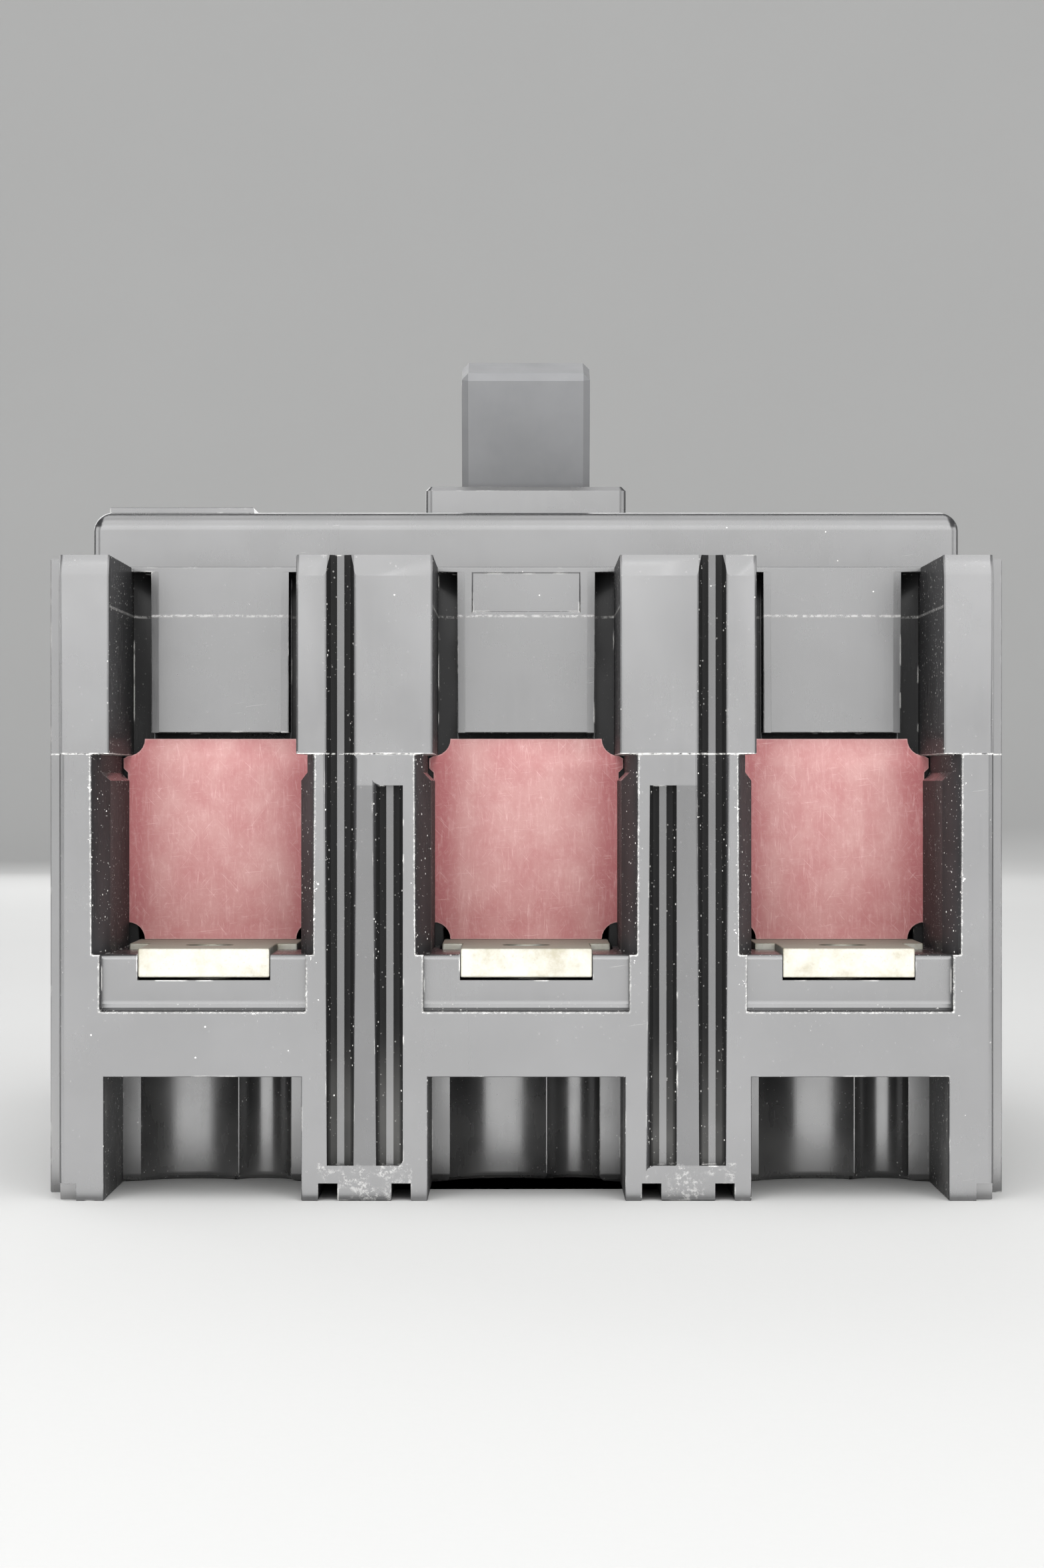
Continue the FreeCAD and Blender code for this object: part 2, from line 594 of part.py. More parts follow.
def make_terminals():
    """Build the line and load straps with the screws that hold them."""
    for number, pole in enumerate(POLES, start=1):
        for name, end in (("line_terminal", -1), ("load_terminal", 1)):
            strap = Shaped(f"{name}_{number}")
            top = "channel_floor + strap_thickness"
            y0, y1 = band(end, "tongue_set_back", "channel_start + 0.3")
            strap.pad("XY", [span("0", "tongue_width / 2", y0, y1)], "channel_floor", top)
            if end < 0:
                y0, y1 = f"{END[-1]} + channel_start + 0.2", "-inner_half - 0.2"
                strap.pad("XY", [span("0", "strap_width / 2", y0, y1)], "channel_floor", top)
                strap.pad("XY", [span("0", "inner_strap_width / 2", "-inner_half - 0.3", "chute_end - 0.3")],
                          "channel_floor", top)
                screw_y = "line_screw_y"
            else:
                strap.pad("XY", [span("0", "strap_width / 2", "load_shelf + 0.3",
                                      f"{END[1]} - channel_start - 0.2")], "channel_floor", top)
                screw_y = "load_screw_y"
            hole_y = band(end, "lug_hole_inset", "lug_hole_inset")[0]
            strap.pocket("XY", [ring("0", hole_y, "lug_hole_radius")], "channel_floor", top)
            strap.pocket("XY", [flats("0", screw_y, "strap_screw_radius + 0.05", around=True)], "channel_floor", top)
            strap.put(x=pole_x(pole))
        contact = Shaped(f"fixed_contact_{number}")
        contact.pad("XY", [span("0", "4", "arm_tip - 0.4", "arm_tip + contact_length")],
                    "channel_floor + strap_thickness", "arm_bottom - contact_thickness")
        contact.round("0.3", lambda e: level(e, "Z", value("arm_bottom - contact_thickness")), "Chamfer")
        contact.put(x=pole_x(pole))
    for name, y in (("line_terminal_screws", "line_screw_y"), ("load_terminal_screws", "load_screw_y")):
        screws = Shaped(name)
        foot = "strap_head_top - strap_head_height"
        screws.pad("XY", [flats(pole_x(p), y, "strap_screw_radius") for p in POLES], foot,
                   "channel_floor + strap_thickness - 0.2")
        screws.pad("XY", [flats(pole_x(p), y, "strap_head_radius", 12) for p in POLES], foot, "strap_head_top")
        screws.pocket("XY", [span(pole_x(p), "2.6", f"{y} - 0.5", f"{y} + 0.5") for p in POLES], foot,
                      f"{foot} + 1.2")


def make_baffles():
    """Build the vulcanised fibre plates that close the line-end recesses."""
    for number, pole in enumerate(POLES, start=1):
        plate = Shaped(f"fibre_baffle_{number}")
        half, corner = "baffle_width / 2", "baffle_corner"
        right = [(half, f"baffle_bottom + {corner}"), (half, "ear_low"), ("ear_half", "ear_low + 0.5"),
                 ("ear_half", "ear_high"), (half, "ear_high"),
                 (f"{half} - {corner}", "ear_high"), (f"{half} - {corner}", "baffle_top")]
        outline = [(f"{half} - {corner}", "baffle_bottom"), (f"{half} - {corner}", f"baffle_bottom + {corner}")]
        outline += right
        outline += [(f"-({x})", z) for x, z in reversed(outline)]
        plate.pad("XZ", [outline], "baffle_front", "baffle_front + baffle_thickness")
        plate.put(x=pole_x(pole))


def make_chutes():
    """Build the steel arc plates and the fibre sides that carry them."""
    for number, pole in enumerate(POLES, start=1):
        plates = Shaped(f"chute_plates_{number}")
        outline = [("-chute_half", "-44.4"), ("chute_half", "-44.4"), ("chute_half", "-38"),
                   ("chute_half + chute_side", "-38"), ("chute_half + chute_side", "-32"), ("chute_half", "-32"),
                   ("chute_half", "chute_end - 0.3"), ("6", "chute_end - 0.3"), ("4.6", "-37.6"),
                   ("-4.6", "-37.6"), ("-6", "chute_end - 0.3"), ("-chute_half", "chute_end - 0.3"),
                   ("-chute_half", "-32"), ("-chute_half - chute_side", "-32"),
                   ("-chute_half - chute_side", "-38"), ("-chute_half", "-38")]
        first = plates.pad("XY", [outline], "chute_first", "chute_first + chute_plate")
        stack = plates.body.newObject("PartDesign::LinearPattern", f"chute_stack_{number}")
        stack.Originals = [first]
        stack.Direction = (plates.origin["Z_Axis"], [""])
        stack.setExpression("Occurrences", tied("chute_count"))
        stack.setExpression("Length", tied("chute_pitch * (chute_count - 1)"))
        plates.body.Tip = stack
        plates.put(x=pole_x(pole))
        sides = Shaped(f"chute_sides_{number}")
        for x0, x1 in (("chute_half + 0.06", "chute_half + chute_side + 0.06"),
                       ("-chute_half - chute_side - 0.06", "-chute_half - 0.06")):
            sides.pad("YZ", [rect("-44.6", "chute_end - 0.1", "chute_floor", "chute_top")], x0, x1)
            slots = [rect("-38.1", "-31.9", f"chute_first + {i} * chute_pitch - 0.06",
                          f"chute_first + {i} * chute_pitch + chute_plate + 0.06")
                     for i in range(int(value("chute_count")))]
            sides.pocket("YZ", slots, x0, x1)
        sides.put(x=pole_x(pole))


def make_crossbar():
    """Build the insulating crossbar, its contact arms, their pins, springs and contacts."""
    bar = Shaped("crossbar")
    y, z = "crossbar_y", "crossbar_z"
    reach = "pole_pitch + hub_half"
    # a neck on each side of the middle hub leaves room for the lower links
    bar.pad("YZ", [flats(y, z, "neck_radius")], "-neck_half - 0.5", "neck_half + 0.5")
    bar.pad("YZ", [ring(y, z, "journal_radius")], "neck_half", reach)
    bar.pad("YZ", [ring(y, z, "journal_radius")], f"-({reach})", "-neck_half")
    for pole, half in zip(POLES, ("hub_half", "middle_hub_half", "hub_half")):
        bar.pad("YZ", [flats(y, z, "hub_radius", 12)], f"{pole_x(pole)} - {half}", f"{pole_x(pole)} + {half}")
    for side in (-1, 1):
        x0, x1 = ("3.9", "6.5") if side > 0 else ("-6.5", "-3.9")
        bar.pad("YZ", [rect("lower_pin_y", y, "lower_pin_z - 3", "lower_pin_z + 3")], x0, x1)
        bar.pad("YZ", [flats("lower_pin_y", "lower_pin_z", "3", 12)], x0, x1)
    slot = "arm_width / 2 + 0.12"
    bar.pocket("XY", [span(pole_x(p), slot, "crossbar_y - 12", "crossbar_y + 9") for p in POLES],
               "arm_bottom - 0.1", "crossbar_z + 9")
    bar.pocket("YZ", [flats("lower_pin_y", "lower_pin_z", "toggle_radius + 0.05", 12, around=True)], "-7", "7")
    for pole in POLES:
        bar.pocket("YZ", [flats(y, "arm_bottom + arm_thickness / 2", "toggle_radius + 0.02", around=True)],
                   f"{pole_x(pole)} - hub_half", f"{pole_x(pole)} + hub_half")
    bar.pocket("XY", [flats(pole_x(p), "crossbar_y + 3", "2.3", 12) for p in POLES], "26.2", "arm_bottom")
    for number, pole in enumerate(POLES, start=1):
        arm = Shaped(f"contact_arm_{number}")
        low, high = "arm_bottom", "arm_bottom + arm_thickness"
        side_view = [("arm_tip", low), ("arm_tail", low), ("arm_tail", f"{high} - 1"), ("arm_tail - 1", high),
                     ("arm_tip + 14", high), ("arm_tip + 1.5", f"{high} - 1.6"), ("arm_tip", f"{high} - 3")]
        arm.pad("YZ", [side_view], "-arm_width / 2", "arm_width / 2")
        arm.pocket("YZ", [flats(y, "arm_bottom + arm_thickness / 2", "toggle_radius + 0.05", around=True)],
                   "-arm_width / 2", "arm_width / 2")
        arm.put(x=pole_x(pole))
        contact = Shaped(f"moving_contact_{number}")
        contact.pad("XY", [span("0", "arm_width / 2 - 0.15", "arm_tip", "arm_tip + contact_length - 0.8")],
                    "arm_bottom - contact_thickness", "arm_bottom")
        contact.round("0.3", lambda e: level(e, "Z", value("arm_bottom - contact_thickness")), "Chamfer")
        contact.put(x=pole_x(pole))
    pins = Shaped("arm_pins")
    for pole, half in zip(POLES, ("hub_half", "middle_hub_half", "hub_half")):
        pins.pad("YZ", [flats(y, "arm_bottom + arm_thickness / 2", "toggle_radius")],
                 f"{pole_x(pole)} - {half} + 0.3", f"{pole_x(pole)} + {half} - 0.3")


def coil(radius, wire, turns, height, steps=8):
    """Return a square-wire spring that stands on Z at the origin, each turn made of straight lengths."""
    rows = []
    for index in range(turns * steps + 1):
        turn = 2 * pi * index / steps
        low = (height - wire) * index / (turns * steps)
        inner, outer = (FreeCAD.Vector(r * cos(turn), r * sin(turn), low) for r in (radius - wire / 2,
                                                                                   radius + wire / 2))
        rise = FreeCAD.Vector(0, 0, wire)
        rows.append([inner, outer, outer + rise, inner + rise])
    faces = [Part.Face(Part.makePolygon(rows[0] + rows[0][:1])), Part.Face(Part.makePolygon(rows[-1] + rows[-1][:1]))]
    for first, second in zip(rows, rows[1:]):
        for a, b in ((1, 2), (3, 0)):
            faces.append(Part.Face(Part.makePolygon([first[a], second[a], second[b], first[b], first[a]])))
        for a, b in ((0, 1), (2, 3)):
            faces.append(Part.Face(Part.makePolygon([first[a], first[b], second[b], first[a]])))
            faces.append(Part.Face(Part.makePolygon([first[a], second[b], second[a], first[a]])))
    shell = Part.makeShell(faces)
    shell.sewShape()
    solid = Part.makeSolid(shell)
    if solid.Volume < 0:
        solid.reverse()
    return solid


def make_springs():
    """Build the coil springs of the contact arms and of the toggle."""
    floor, top = 26.25, value("arm_bottom") - 0.05
    one = coil(1.7, 0.5, 3, top - floor)
    group = doc.addObject("Part::Feature", "contact_springs")
    group.Label = "contact_springs"
    copies = []
    for pole in POLES:
        copy = one.copy()
        copy.translate(FreeCAD.Vector(pole * value("pole_pitch"), value("crossbar_y + 3"), floor))
        copies.append(copy)
    group.Shape = Part.makeCompound(copies)
    NODES.append(group)
    lean = FreeCAD.Rotation(FreeCAD.Vector(1, 0, 0), value("handle_lean"))
    anchor = FreeCAD.Vector(0, 0, value("handle_z")) + lean.multVec(FreeCAD.Vector(0, 0, value("yoke_reach") - 2.6))
    pin = FreeCAD.Vector(0, value("toggle_y"), value("toggle_z"))
    line = anchor - pin
    reach = line.Length - value("toggle_radius") - 0.4
    one = coil(1.35, 0.45, 6, reach)
    start = pin + FreeCAD.Vector(line).normalize() * (value("toggle_radius") + 0.1)
    turn = FreeCAD.Rotation(FreeCAD.Vector(0, 0, 1), line)
    group = doc.addObject("Part::Feature", "main_springs")
    group.Label = "main_springs"
    copies = []
    for side in (-1, 1):
        copy = one.copy()
        copy.Placement = FreeCAD.Placement(start + FreeCAD.Vector(side * 10.15, 0, 0), turn)
        copies.append(copy)
    group.Shape = Part.makeCompound(copies)
    NODES.append(group)


def make_handle():
    """Build the handle with its skirt, and the steel yoke that carries it."""
    handle = Shaped("handle")
    outer, inner = "skirt_radius", "skirt_radius - skirt_thickness"
    handle.pad("YZ", [ring("0", "0", outer)], "-skirt_width / 2", "skirt_width / 2")
    handle.pocket("YZ", [ring("0", "0", inner)], "-skirt_width / 2", "skirt_width / 2")
    far = "skirt_radius * 3"
    side = f"{far} * sin(skirt_angle * 1deg)"
    up = f"{far} * cos(skirt_angle * 1deg)"
    handle.pocket("YZ", [[("0", "0"), (side, up), (far, up), (far, f"-({far})"), (f"-({far})", f"-({far})"),
                          (f"-({far})", up), (f"-({side})", up)]], "-skirt_width / 2", "skirt_width / 2")
    width = "handle_width / 2"
    handle.pad("YZ", [[("-4.9", f"{inner} - 0.3"), ("4.9", f"{inner} - 0.3"), ("4.1", "handle_reach"),
                       ("-4.1", "handle_reach")]], f"-({width})", width)
    handle.round("0.8", lambda e: e.BoundBox.ZMax > value("handle_reach") - 0.1
                 or (length_along(e, "Z") > 15 and near(abs(e.BoundBox.XMax), value(width), 0.3)), "Chamfer")
    handle.pad("XY", [rect("-6", "6", "-3.2", "3.2")], "yoke_reach + 0.1", f"{inner} + 0.5")
    handle.put(z="handle_z")
    handle.turn("handle_lean")
    yoke = Shaped("handle_yoke")
    x0, x1 = "yoke_inner / 2", "yoke_inner / 2 + yoke_thickness"
    yoke.pad("XY", [rect(f"-({x1})", x1, "-4", "4")], "yoke_reach - 1.6", "yoke_reach")
    for low, high in ((x0, x1), (f"-({x1})", f"-({x0})")):
        yoke.pad("YZ", [rect("-4", "4", "0", "yoke_reach")], low, high)
        yoke.pad("YZ", [flats("0", "0", "4", 12)], low, high)
        yoke.pocket("YZ", [flats("0", "0", "pin_radius + running_gap", 12, around=True)], low, high)
    yoke.put(z="handle_z")
    yoke.turn("handle_lean")


def link_body(name, layers, start, end, width, rings, holes):
    """Build a pair of flat links between two points of the side view."""
    link = Shaped(name)
    y0, z0 = start
    y1, z1 = end
    dy, dz = f"(({y1}) - ({y0}))", f"(({z1}) - ({z0}))"
    length = f"sqrt({dy} * {dy} + {dz} * {dz})"
    for low, high in layers:
        link.pad("YZ", [rect("0", length, f"-({width})", width)], low, high)
        link.pad("YZ", [flats("0", "0", rings[0], 12)], low, high)
        link.pad("YZ", [flats(length, "0", rings[1], 12)], low, high)
        for at, radius in holes:
            link.pocket("YZ", [flats(length if at else "0", "0", radius, 12, around=True)], low, high)
    return link, f"atan2({dz}; {dy}) / 1deg"


def make_mechanism():
    """Build the toggle mechanism of the middle pole."""
    plates = Shaped("side_plates")
    inner, outer = "frame_inner / 2", "frame_inner / 2 + frame_thickness"
    pins = (("cradle_y", "cradle_z"), ("17", "20"), ("-16", "20"))
    for low, high in ((inner, outer), (f"-({outer})", f"-({inner})")):
        outline = [("-20", "chamber_floor"), ("crossbar_y - journal_radius - 0.4", "chamber_floor"),
                   ("crossbar_y - journal_radius - 0.4", "crossbar_z"),
                   ("crossbar_y + journal_radius + 0.4", "crossbar_z"),
                   ("crossbar_y + journal_radius + 0.4", "chamber_floor"), ("22", "chamber_floor"), ("22", "44"),
                   ("12", "57"), ("-15", "57"), ("-20", "52")]
        plates.pad("YZ", [outline], low, high)
        plates.pocket("YZ", [ring("crossbar_y", "crossbar_z", "journal_radius + 0.4")], low, high)
        for y, z in pins + (("0", "handle_z"),):
            plates.pocket("YZ", [flats(y, z, "pin_radius + 0.02", around=True)], low, high)
    rods = Shaped("frame_pins")
    for y, z in pins:
        rods.pad("YZ", [flats(y, z, "pin_radius")], f"-({outer})", outer)
    for side in (-1, 1):
        x0, x1 = f"{inner}", f"{outer} + yoke_thickness + 0.5"
        x0, x1 = (x0, x1) if side > 0 else (f"-({x1})", f"-({x0})")
        rods.pad("YZ", [flats("0", "handle_z", "pin_radius")], x0, x1)
    cradle = Shaped("cradle")
    half = "cradle_thickness / 2"
    cradle.pad("YZ", [[("cradle_y", "cradle_z - 3.2"), ("2", "47.6"), ("10.5", "47.6"), ("21.5", "34.6"),
                       ("25.6", "34.6"), ("25.6", "35.6"), ("24.0", "37.6"), ("13.5", "51.5"), ("9", "55.5"),
                       ("cradle_y", "cradle_z + 3.2")]], f"-({half})", half)
    cradle.pad("YZ", [ring("cradle_y", "cradle_z", "3.2")], f"-({half})", half)
    cradle.pocket("YZ", [ring("cradle_y", "cradle_z", "pin_radius + running_gap")], f"-({half})", half)
    # the link pin rides in a slot as long as the cradle's release throw
    for drop in ("0", "0.95"):
        cradle.pocket("YZ", [flats("upper_pin_y", f"upper_pin_z - {drop}", "pin_radius + 0.15", 12, around=True)],
                      f"-({half})", half)
    upper, angle = link_body("upper_links", (("2.8", "4.2"), ("-4.2", "-2.8")), ("upper_pin_y", "upper_pin_z"),
                             ("toggle_y", "toggle_z"), "1.9", ("2.6", "2.4"), ((1, "toggle_radius + 0.03"),))
    upper.pad("YZ", [ring("0", "0", "pin_radius")], "-4.2", "4.2")
    upper.put(y="upper_pin_y", z="upper_pin_z").turn(angle)
    lower, angle = link_body("lower_links", (("6.9", "8.1"), ("-8.1", "-6.9")), ("lower_pin_y", "lower_pin_z"),
                             ("toggle_y", "toggle_z"), "1.9", ("2.2", "2.8"),
                             ((1, "toggle_radius + toggle_play"),))
    for low, high in (("3.95", "8.1"), ("-8.1", "-3.95")):
        lower.pad("YZ", [ring("0", "0", "toggle_radius")], low, high)
    lower.put(y="lower_pin_y", z="lower_pin_z").turn(angle)
    pin = Shaped("toggle_pin")
    pin.pad("YZ", [flats("toggle_y", "toggle_z", "toggle_radius")], "-11.6", "11.6")


def make_trip_unit():
    """Build the trip bar, latch, armatures, magnets, bimetals and shunts."""
    bar = Shaped("trip_bar")
    reach = "pole_pitch + 6"
    bar.pad("YZ", [ring("trip_y", "trip_z", "trip_radius")], f"-({reach})", reach)
    for pole in POLES:
        bar.pad("YZ", [rect("trip_y", "trip_y + 3.4", "trip_z", "calibration_z + 1.6")],
                f"{pole_x(pole)} - 3.4", f"{pole_x(pole)} + 3.4")
    bar.pad("YZ", [rect("button_y - 2", "trip_y", "trip_z - 1", "trip_z + 1.2")], "button_x - 2.4", "button_x + 2.4")
    latch = Shaped("latch")
    latch.pad("YZ", [[("24.2", "37.76"), ("25.8", "35.76"), ("26.2", "34.8"), ("28.2", "34.8"),
                      ("28.2", "trip_z - trip_radius + 0.9"), ("25.4", "trip_z - trip_radius + 0.9"), ("25.4", "39.6"),
                      ("24.2", "39.0")]], "-3.4", "3.4")
    latch.pocket("YZ", [ring("trip_y", "trip_z", "trip_radius")], "-3.4", "3.4")
    button = Shaped("trip_button")
    button.pad("XY", [ring("button_x", "button_y", "button_radius")], "raised_top - 5", "raised_top + 0.4")
    button.pad("XY", [flats("button_x", "button_y", "3.4", 12)], "raised_top - 5", "raised_top - cover_wall - 0.1")
    button.pad("XY", [flats("button_x", "button_y", "1.6")], "trip_z + 3", "raised_top - 5")
    button.pad("XY", [flats("button_x", "button_y", "0.8")], "trip_z + 1.6", "trip_z + 3")
    for number, pole in enumerate(POLES, start=1):
        y, z, top = "armature_y", "armature_z", "channel_floor + strap_thickness"
        plate = Shaped(f"armature_{number}")
        plate.pad("XZ", [[("-8.4", "29.4"), ("8.4", "29.4"), ("8.4", "magnet_height + 0.4"),
                          ("6.4", "magnet_height + 0.4"), ("6.4", "51"), ("2.4", "51"), ("2.4", "52.4"),
                          ("-2.4", "52.4"), ("-2.4", "51"), ("-6.4", "51"), ("-6.4", "magnet_height + 0.4"),
                          ("-8.4", "magnet_height + 0.4")]],
                  "armature_y - armature_thickness / 2", "armature_y + armature_thickness / 2")
        plate.pad("YZ", [flats(y, z, "armature_pin")], "-8.6", "6.8")
        plate.pad("YZ", [ring(y, z, "armature_pin")], "6.8", "8.6")
        plate.put(x=pole_x(pole))
        magnet = Shaped(f"magnet_yoke_{number}")
        front = "magnet_front"
        side_view = [(front, top), ("41.4", top), ("41.4", "magnet_height"), ("36", "magnet_height"),
                     ("36", "armature_z + 2.6"), ("armature_y - 2.2", "armature_z + 2.6"),
                     ("armature_y - 2.2", "magnet_height + 1.2"), (front, "magnet_height + 1.2")]
        for low, high in (("6.8", "8.6"), ("-8.6", "-6.8")):
            magnet.pad("YZ", [side_view], low, high)
        magnet.pad("XY", [rect("-8.6", "8.6", "39.6", "41.4")], "29", "magnet_height")
        magnet.pocket("YZ", [flats(y, z, "armature_pin + running_gap", 12, around=True)], "-8.6", "8.6")
        magnet.put(x=pole_x(pole))
        strip = Shaped(f"bimetal_{number}")
        strip.pad("XY", [span("0", "4.5", "bimetal_y", "bimetal_y + bimetal_thickness")], top, "bimetal_top")
        strip.pad("XY", [span("0", "4.5", "bimetal_y", "bimetal_y + 9")], top, f"{top} + bimetal_thickness")
        strip.pocket("XZ", [flats("0", "calibration_z", "1.0", around=True)], "bimetal_y",
                     "bimetal_y + bimetal_thickness")
        strip.put(x=pole_x(pole))
        shunt = Shaped(f"flexible_shunt_{number}")
        centre = [(10.2, 27.5), (10.7, 22.0), (12.8, 17.6), (16.6, 15.2), (21.2, 15.6), (25.2, 18.6),
                  (28.4, 23.2), (31.0, 26.6), (33.2, 28.0)]
        upper = [(f"{y0 + 0.8}", f"{z0 + 0.5}") if i < 3 else (f"{y0 - 0.2}", f"{z0 + 0.8}")
                 for i, (y0, z0) in enumerate(centre)]
        lower = [(f"{y0 - 0.8}", f"{z0 - 0.1}") if i < 3 else (f"{y0 + 0.2}", f"{z0 - 0.8}")
                 for i, (y0, z0) in enumerate(centre)]
        outline = upper + [("36.6", "28.8"), ("36.6", top), ("34.4", top)] + list(reversed(lower))
        shunt.pad("YZ", [outline], "-3.5", "3.5")
        shunt.put(x=pole_x(pole))
    screws = Shaped("calibration_screws")
    screws.pad("XZ", [flats(pole_x(p), "calibration_z", "0.95") for p in POLES], "trip_y + 4.4", "40")
    screws.pad("XZ", [flats(pole_x(p), "calibration_z", "1.8", 12) for p in POLES], "40", "41.2")
    screws.pocket("XZ", [span(pole_x(p), "1.5", "calibration_z - 0.25", "calibration_z + 0.25") for p in POLES],
                  "40.6", "41.2")


def make_cover_screws():
    """Build the four slotted screws that hold the cover down."""
    screws = Shaped("cover_screws")
    posts = four("pole_pitch / 2", "cover_screw_y")
    screws.pad("XY", [flats(x, y, "cover_screw_radius") for x, y in posts], "channel_floor", "cover_head_floor + 0.5")
    screws.pad("XY", [flats(x, y, "cover_head_radius", 20) for x, y in posts], "cover_head_floor",
               "cover_head_floor + 2.8")
    screws.pocket("XY", [span(x, "cover_head_radius", f"{y} - 0.55", f"{y} + 0.55") for x, y in posts],
                  "cover_head_floor + 1.6", "cover_head_floor + 2.8")


def main():
    """Build every sub-part, check it and write it."""
    make_base()
    make_cover()
    make_cover_screws()
    make_terminals()
    make_baffles()
    make_chutes()
    make_crossbar()
    make_springs()
    make_handle()
    make_mechanism()
    make_trip_unit()
    doc.recompute()
    for item in doc.Objects:
        if {"Invalid", "Error"} & set(item.State):
            raise RuntimeError(f"{item.Name} did not build: {item.State}")
    os.makedirs("parts", exist_ok=True)
    for node in NODES:
        shape = node.Shape
        if shape.isNull() or not shape.isValid() or not shape.Solids:
            raise RuntimeError(f"{node.Label} has no sound solid")
        shape.exportStep(f"parts/{node.Label}.step")
        print(f"{node.Label}: {len(shape.Solids)} solids, {shape.Volume / 1000:.2f} cm3")


main()
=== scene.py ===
"""Looks of a three-pole molded case circuit breaker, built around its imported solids.

Lengths are in metres and every piece lies in the breaker's own frame: X runs across the poles,
Y from the line end to the load end, and Z up from the mounting face.
"""

import logging
import math
from dataclasses import dataclass
from enum import Enum
from typing import ClassVar

import bmesh
import bpy
from mathutils import Matrix, Vector


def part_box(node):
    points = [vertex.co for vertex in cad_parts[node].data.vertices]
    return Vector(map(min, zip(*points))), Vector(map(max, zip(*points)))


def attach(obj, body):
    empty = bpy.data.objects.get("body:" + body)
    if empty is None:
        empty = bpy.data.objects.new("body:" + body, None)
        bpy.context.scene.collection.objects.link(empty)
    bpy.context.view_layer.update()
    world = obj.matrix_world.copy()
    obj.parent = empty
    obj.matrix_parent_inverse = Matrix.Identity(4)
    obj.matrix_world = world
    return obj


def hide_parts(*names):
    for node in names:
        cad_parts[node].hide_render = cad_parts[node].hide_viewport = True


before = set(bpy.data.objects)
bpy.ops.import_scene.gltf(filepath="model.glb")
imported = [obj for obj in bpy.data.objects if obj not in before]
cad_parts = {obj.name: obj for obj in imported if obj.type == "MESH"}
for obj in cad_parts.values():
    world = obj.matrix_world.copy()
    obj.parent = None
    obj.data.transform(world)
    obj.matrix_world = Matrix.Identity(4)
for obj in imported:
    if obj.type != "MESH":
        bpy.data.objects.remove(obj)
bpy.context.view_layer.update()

MM = 0.001
SAME = 0.01 * MM
WELD = 0.002 * MM
FLAT = math.radians(0.5)
POLE_PITCH = 34.925 * MM
POLES = (-1, 0, 1)
LOG = logging.getLogger("breaker")

Triple = tuple[float, float, float]
Colour = Triple
Socket = bpy.types.NodeSocket
Material = bpy.types.Material
Item = bpy.types.Object
Mesh = bmesh.types.BMesh
Edge = bmesh.types.BMEdge
Point = bmesh.types.BMVert


class Slot(Enum):
    """Finishes of the record, one for each kind of surface."""

    MOULDING = "phenolic_moulding"
    INNER_MOULDING = "phenolic_inner"
    HANDLE = "handle_moulding"
    BUTTON = "button_plastic"
    SILVERED = "silvered_copper"
    CONTACT = "silver_contact"
    COPPER = "copper"
    BIMETAL = "bimetal"
    STEEL = "plated_steel"
    SPRING = "spring_steel"
    FIBRE = "vulcanised_fibre"


class Signal:
    """A socket of a material's node tree that can be used in arithmetic."""

    def __init__(self, recipe: "Recipe", socket: Socket) -> None:
        """Wrap an output socket of a recipe."""
        self.recipe = recipe
        self.socket = socket

    def _math(self, operation: str, *terms: "Signal | float") -> "Signal":
        """Return the result of one Math node, given its operation and its inputs in order."""
        node = self.recipe.add("ShaderNodeMath", {"operation": operation}, dict(enumerate(terms)))
        return Signal(self.recipe, node.outputs[0])

    def __add__(self, other: "Signal | float") -> "Signal":
        """Return the sum."""
        return self._math("ADD", self, other)

    def __sub__(self, other: "Signal | float") -> "Signal":
        """Return the difference."""
        return self._math("SUBTRACT", self, other)

    def __rsub__(self, other: float) -> "Signal":
        """Return a number less this signal."""
        return self._math("SUBTRACT", other, self)

    def __mul__(self, other: "Signal | float") -> "Signal":
        """Return the product."""
        return self._math("MULTIPLY", self, other)

    __radd__ = __add__
    __rmul__ = __mul__

    def __abs__(self) -> "Signal":
        """Return the size without its sign."""
        return self._math("ABSOLUTE", self)

    def __mod__(self, other: float) -> "Signal":
        """Return what is left over a whole number of lengths, never below 0."""
        return self._math("FLOORED_MODULO", self, other)

    def __or__(self, other: "Signal | float") -> "Signal":
        """Return the larger of two."""
        return self._math("MAXIMUM", self, other)

    def rise(self, start: float, end: float) -> "Signal":
        """Return a smooth step from 0 at the start to 1 at the end, which may lie below it."""
        low, high = (0.0, 1.0) if start < end else (1.0, 0.0)
        node = self.recipe.add("ShaderNodeMapRange", {"interpolation_type": "SMOOTHSTEP"}, {
            "Value": self, "From Min": min(start, end), "From Max": max(start, end),
            "To Min": low, "To Max": high})
        return Signal(self.recipe, node.outputs[0])

    def above(self, place: float, width: float = 0.1) -> "Signal":
        """Return a mask that starts above a place and is full after some width."""
        return self.rise(place, place + width)

    def below(self, place: float, width: float = 0.1) -> "Signal":
        """Return a mask that starts below a place and is full after some width."""
        return self.rise(place, place - width)


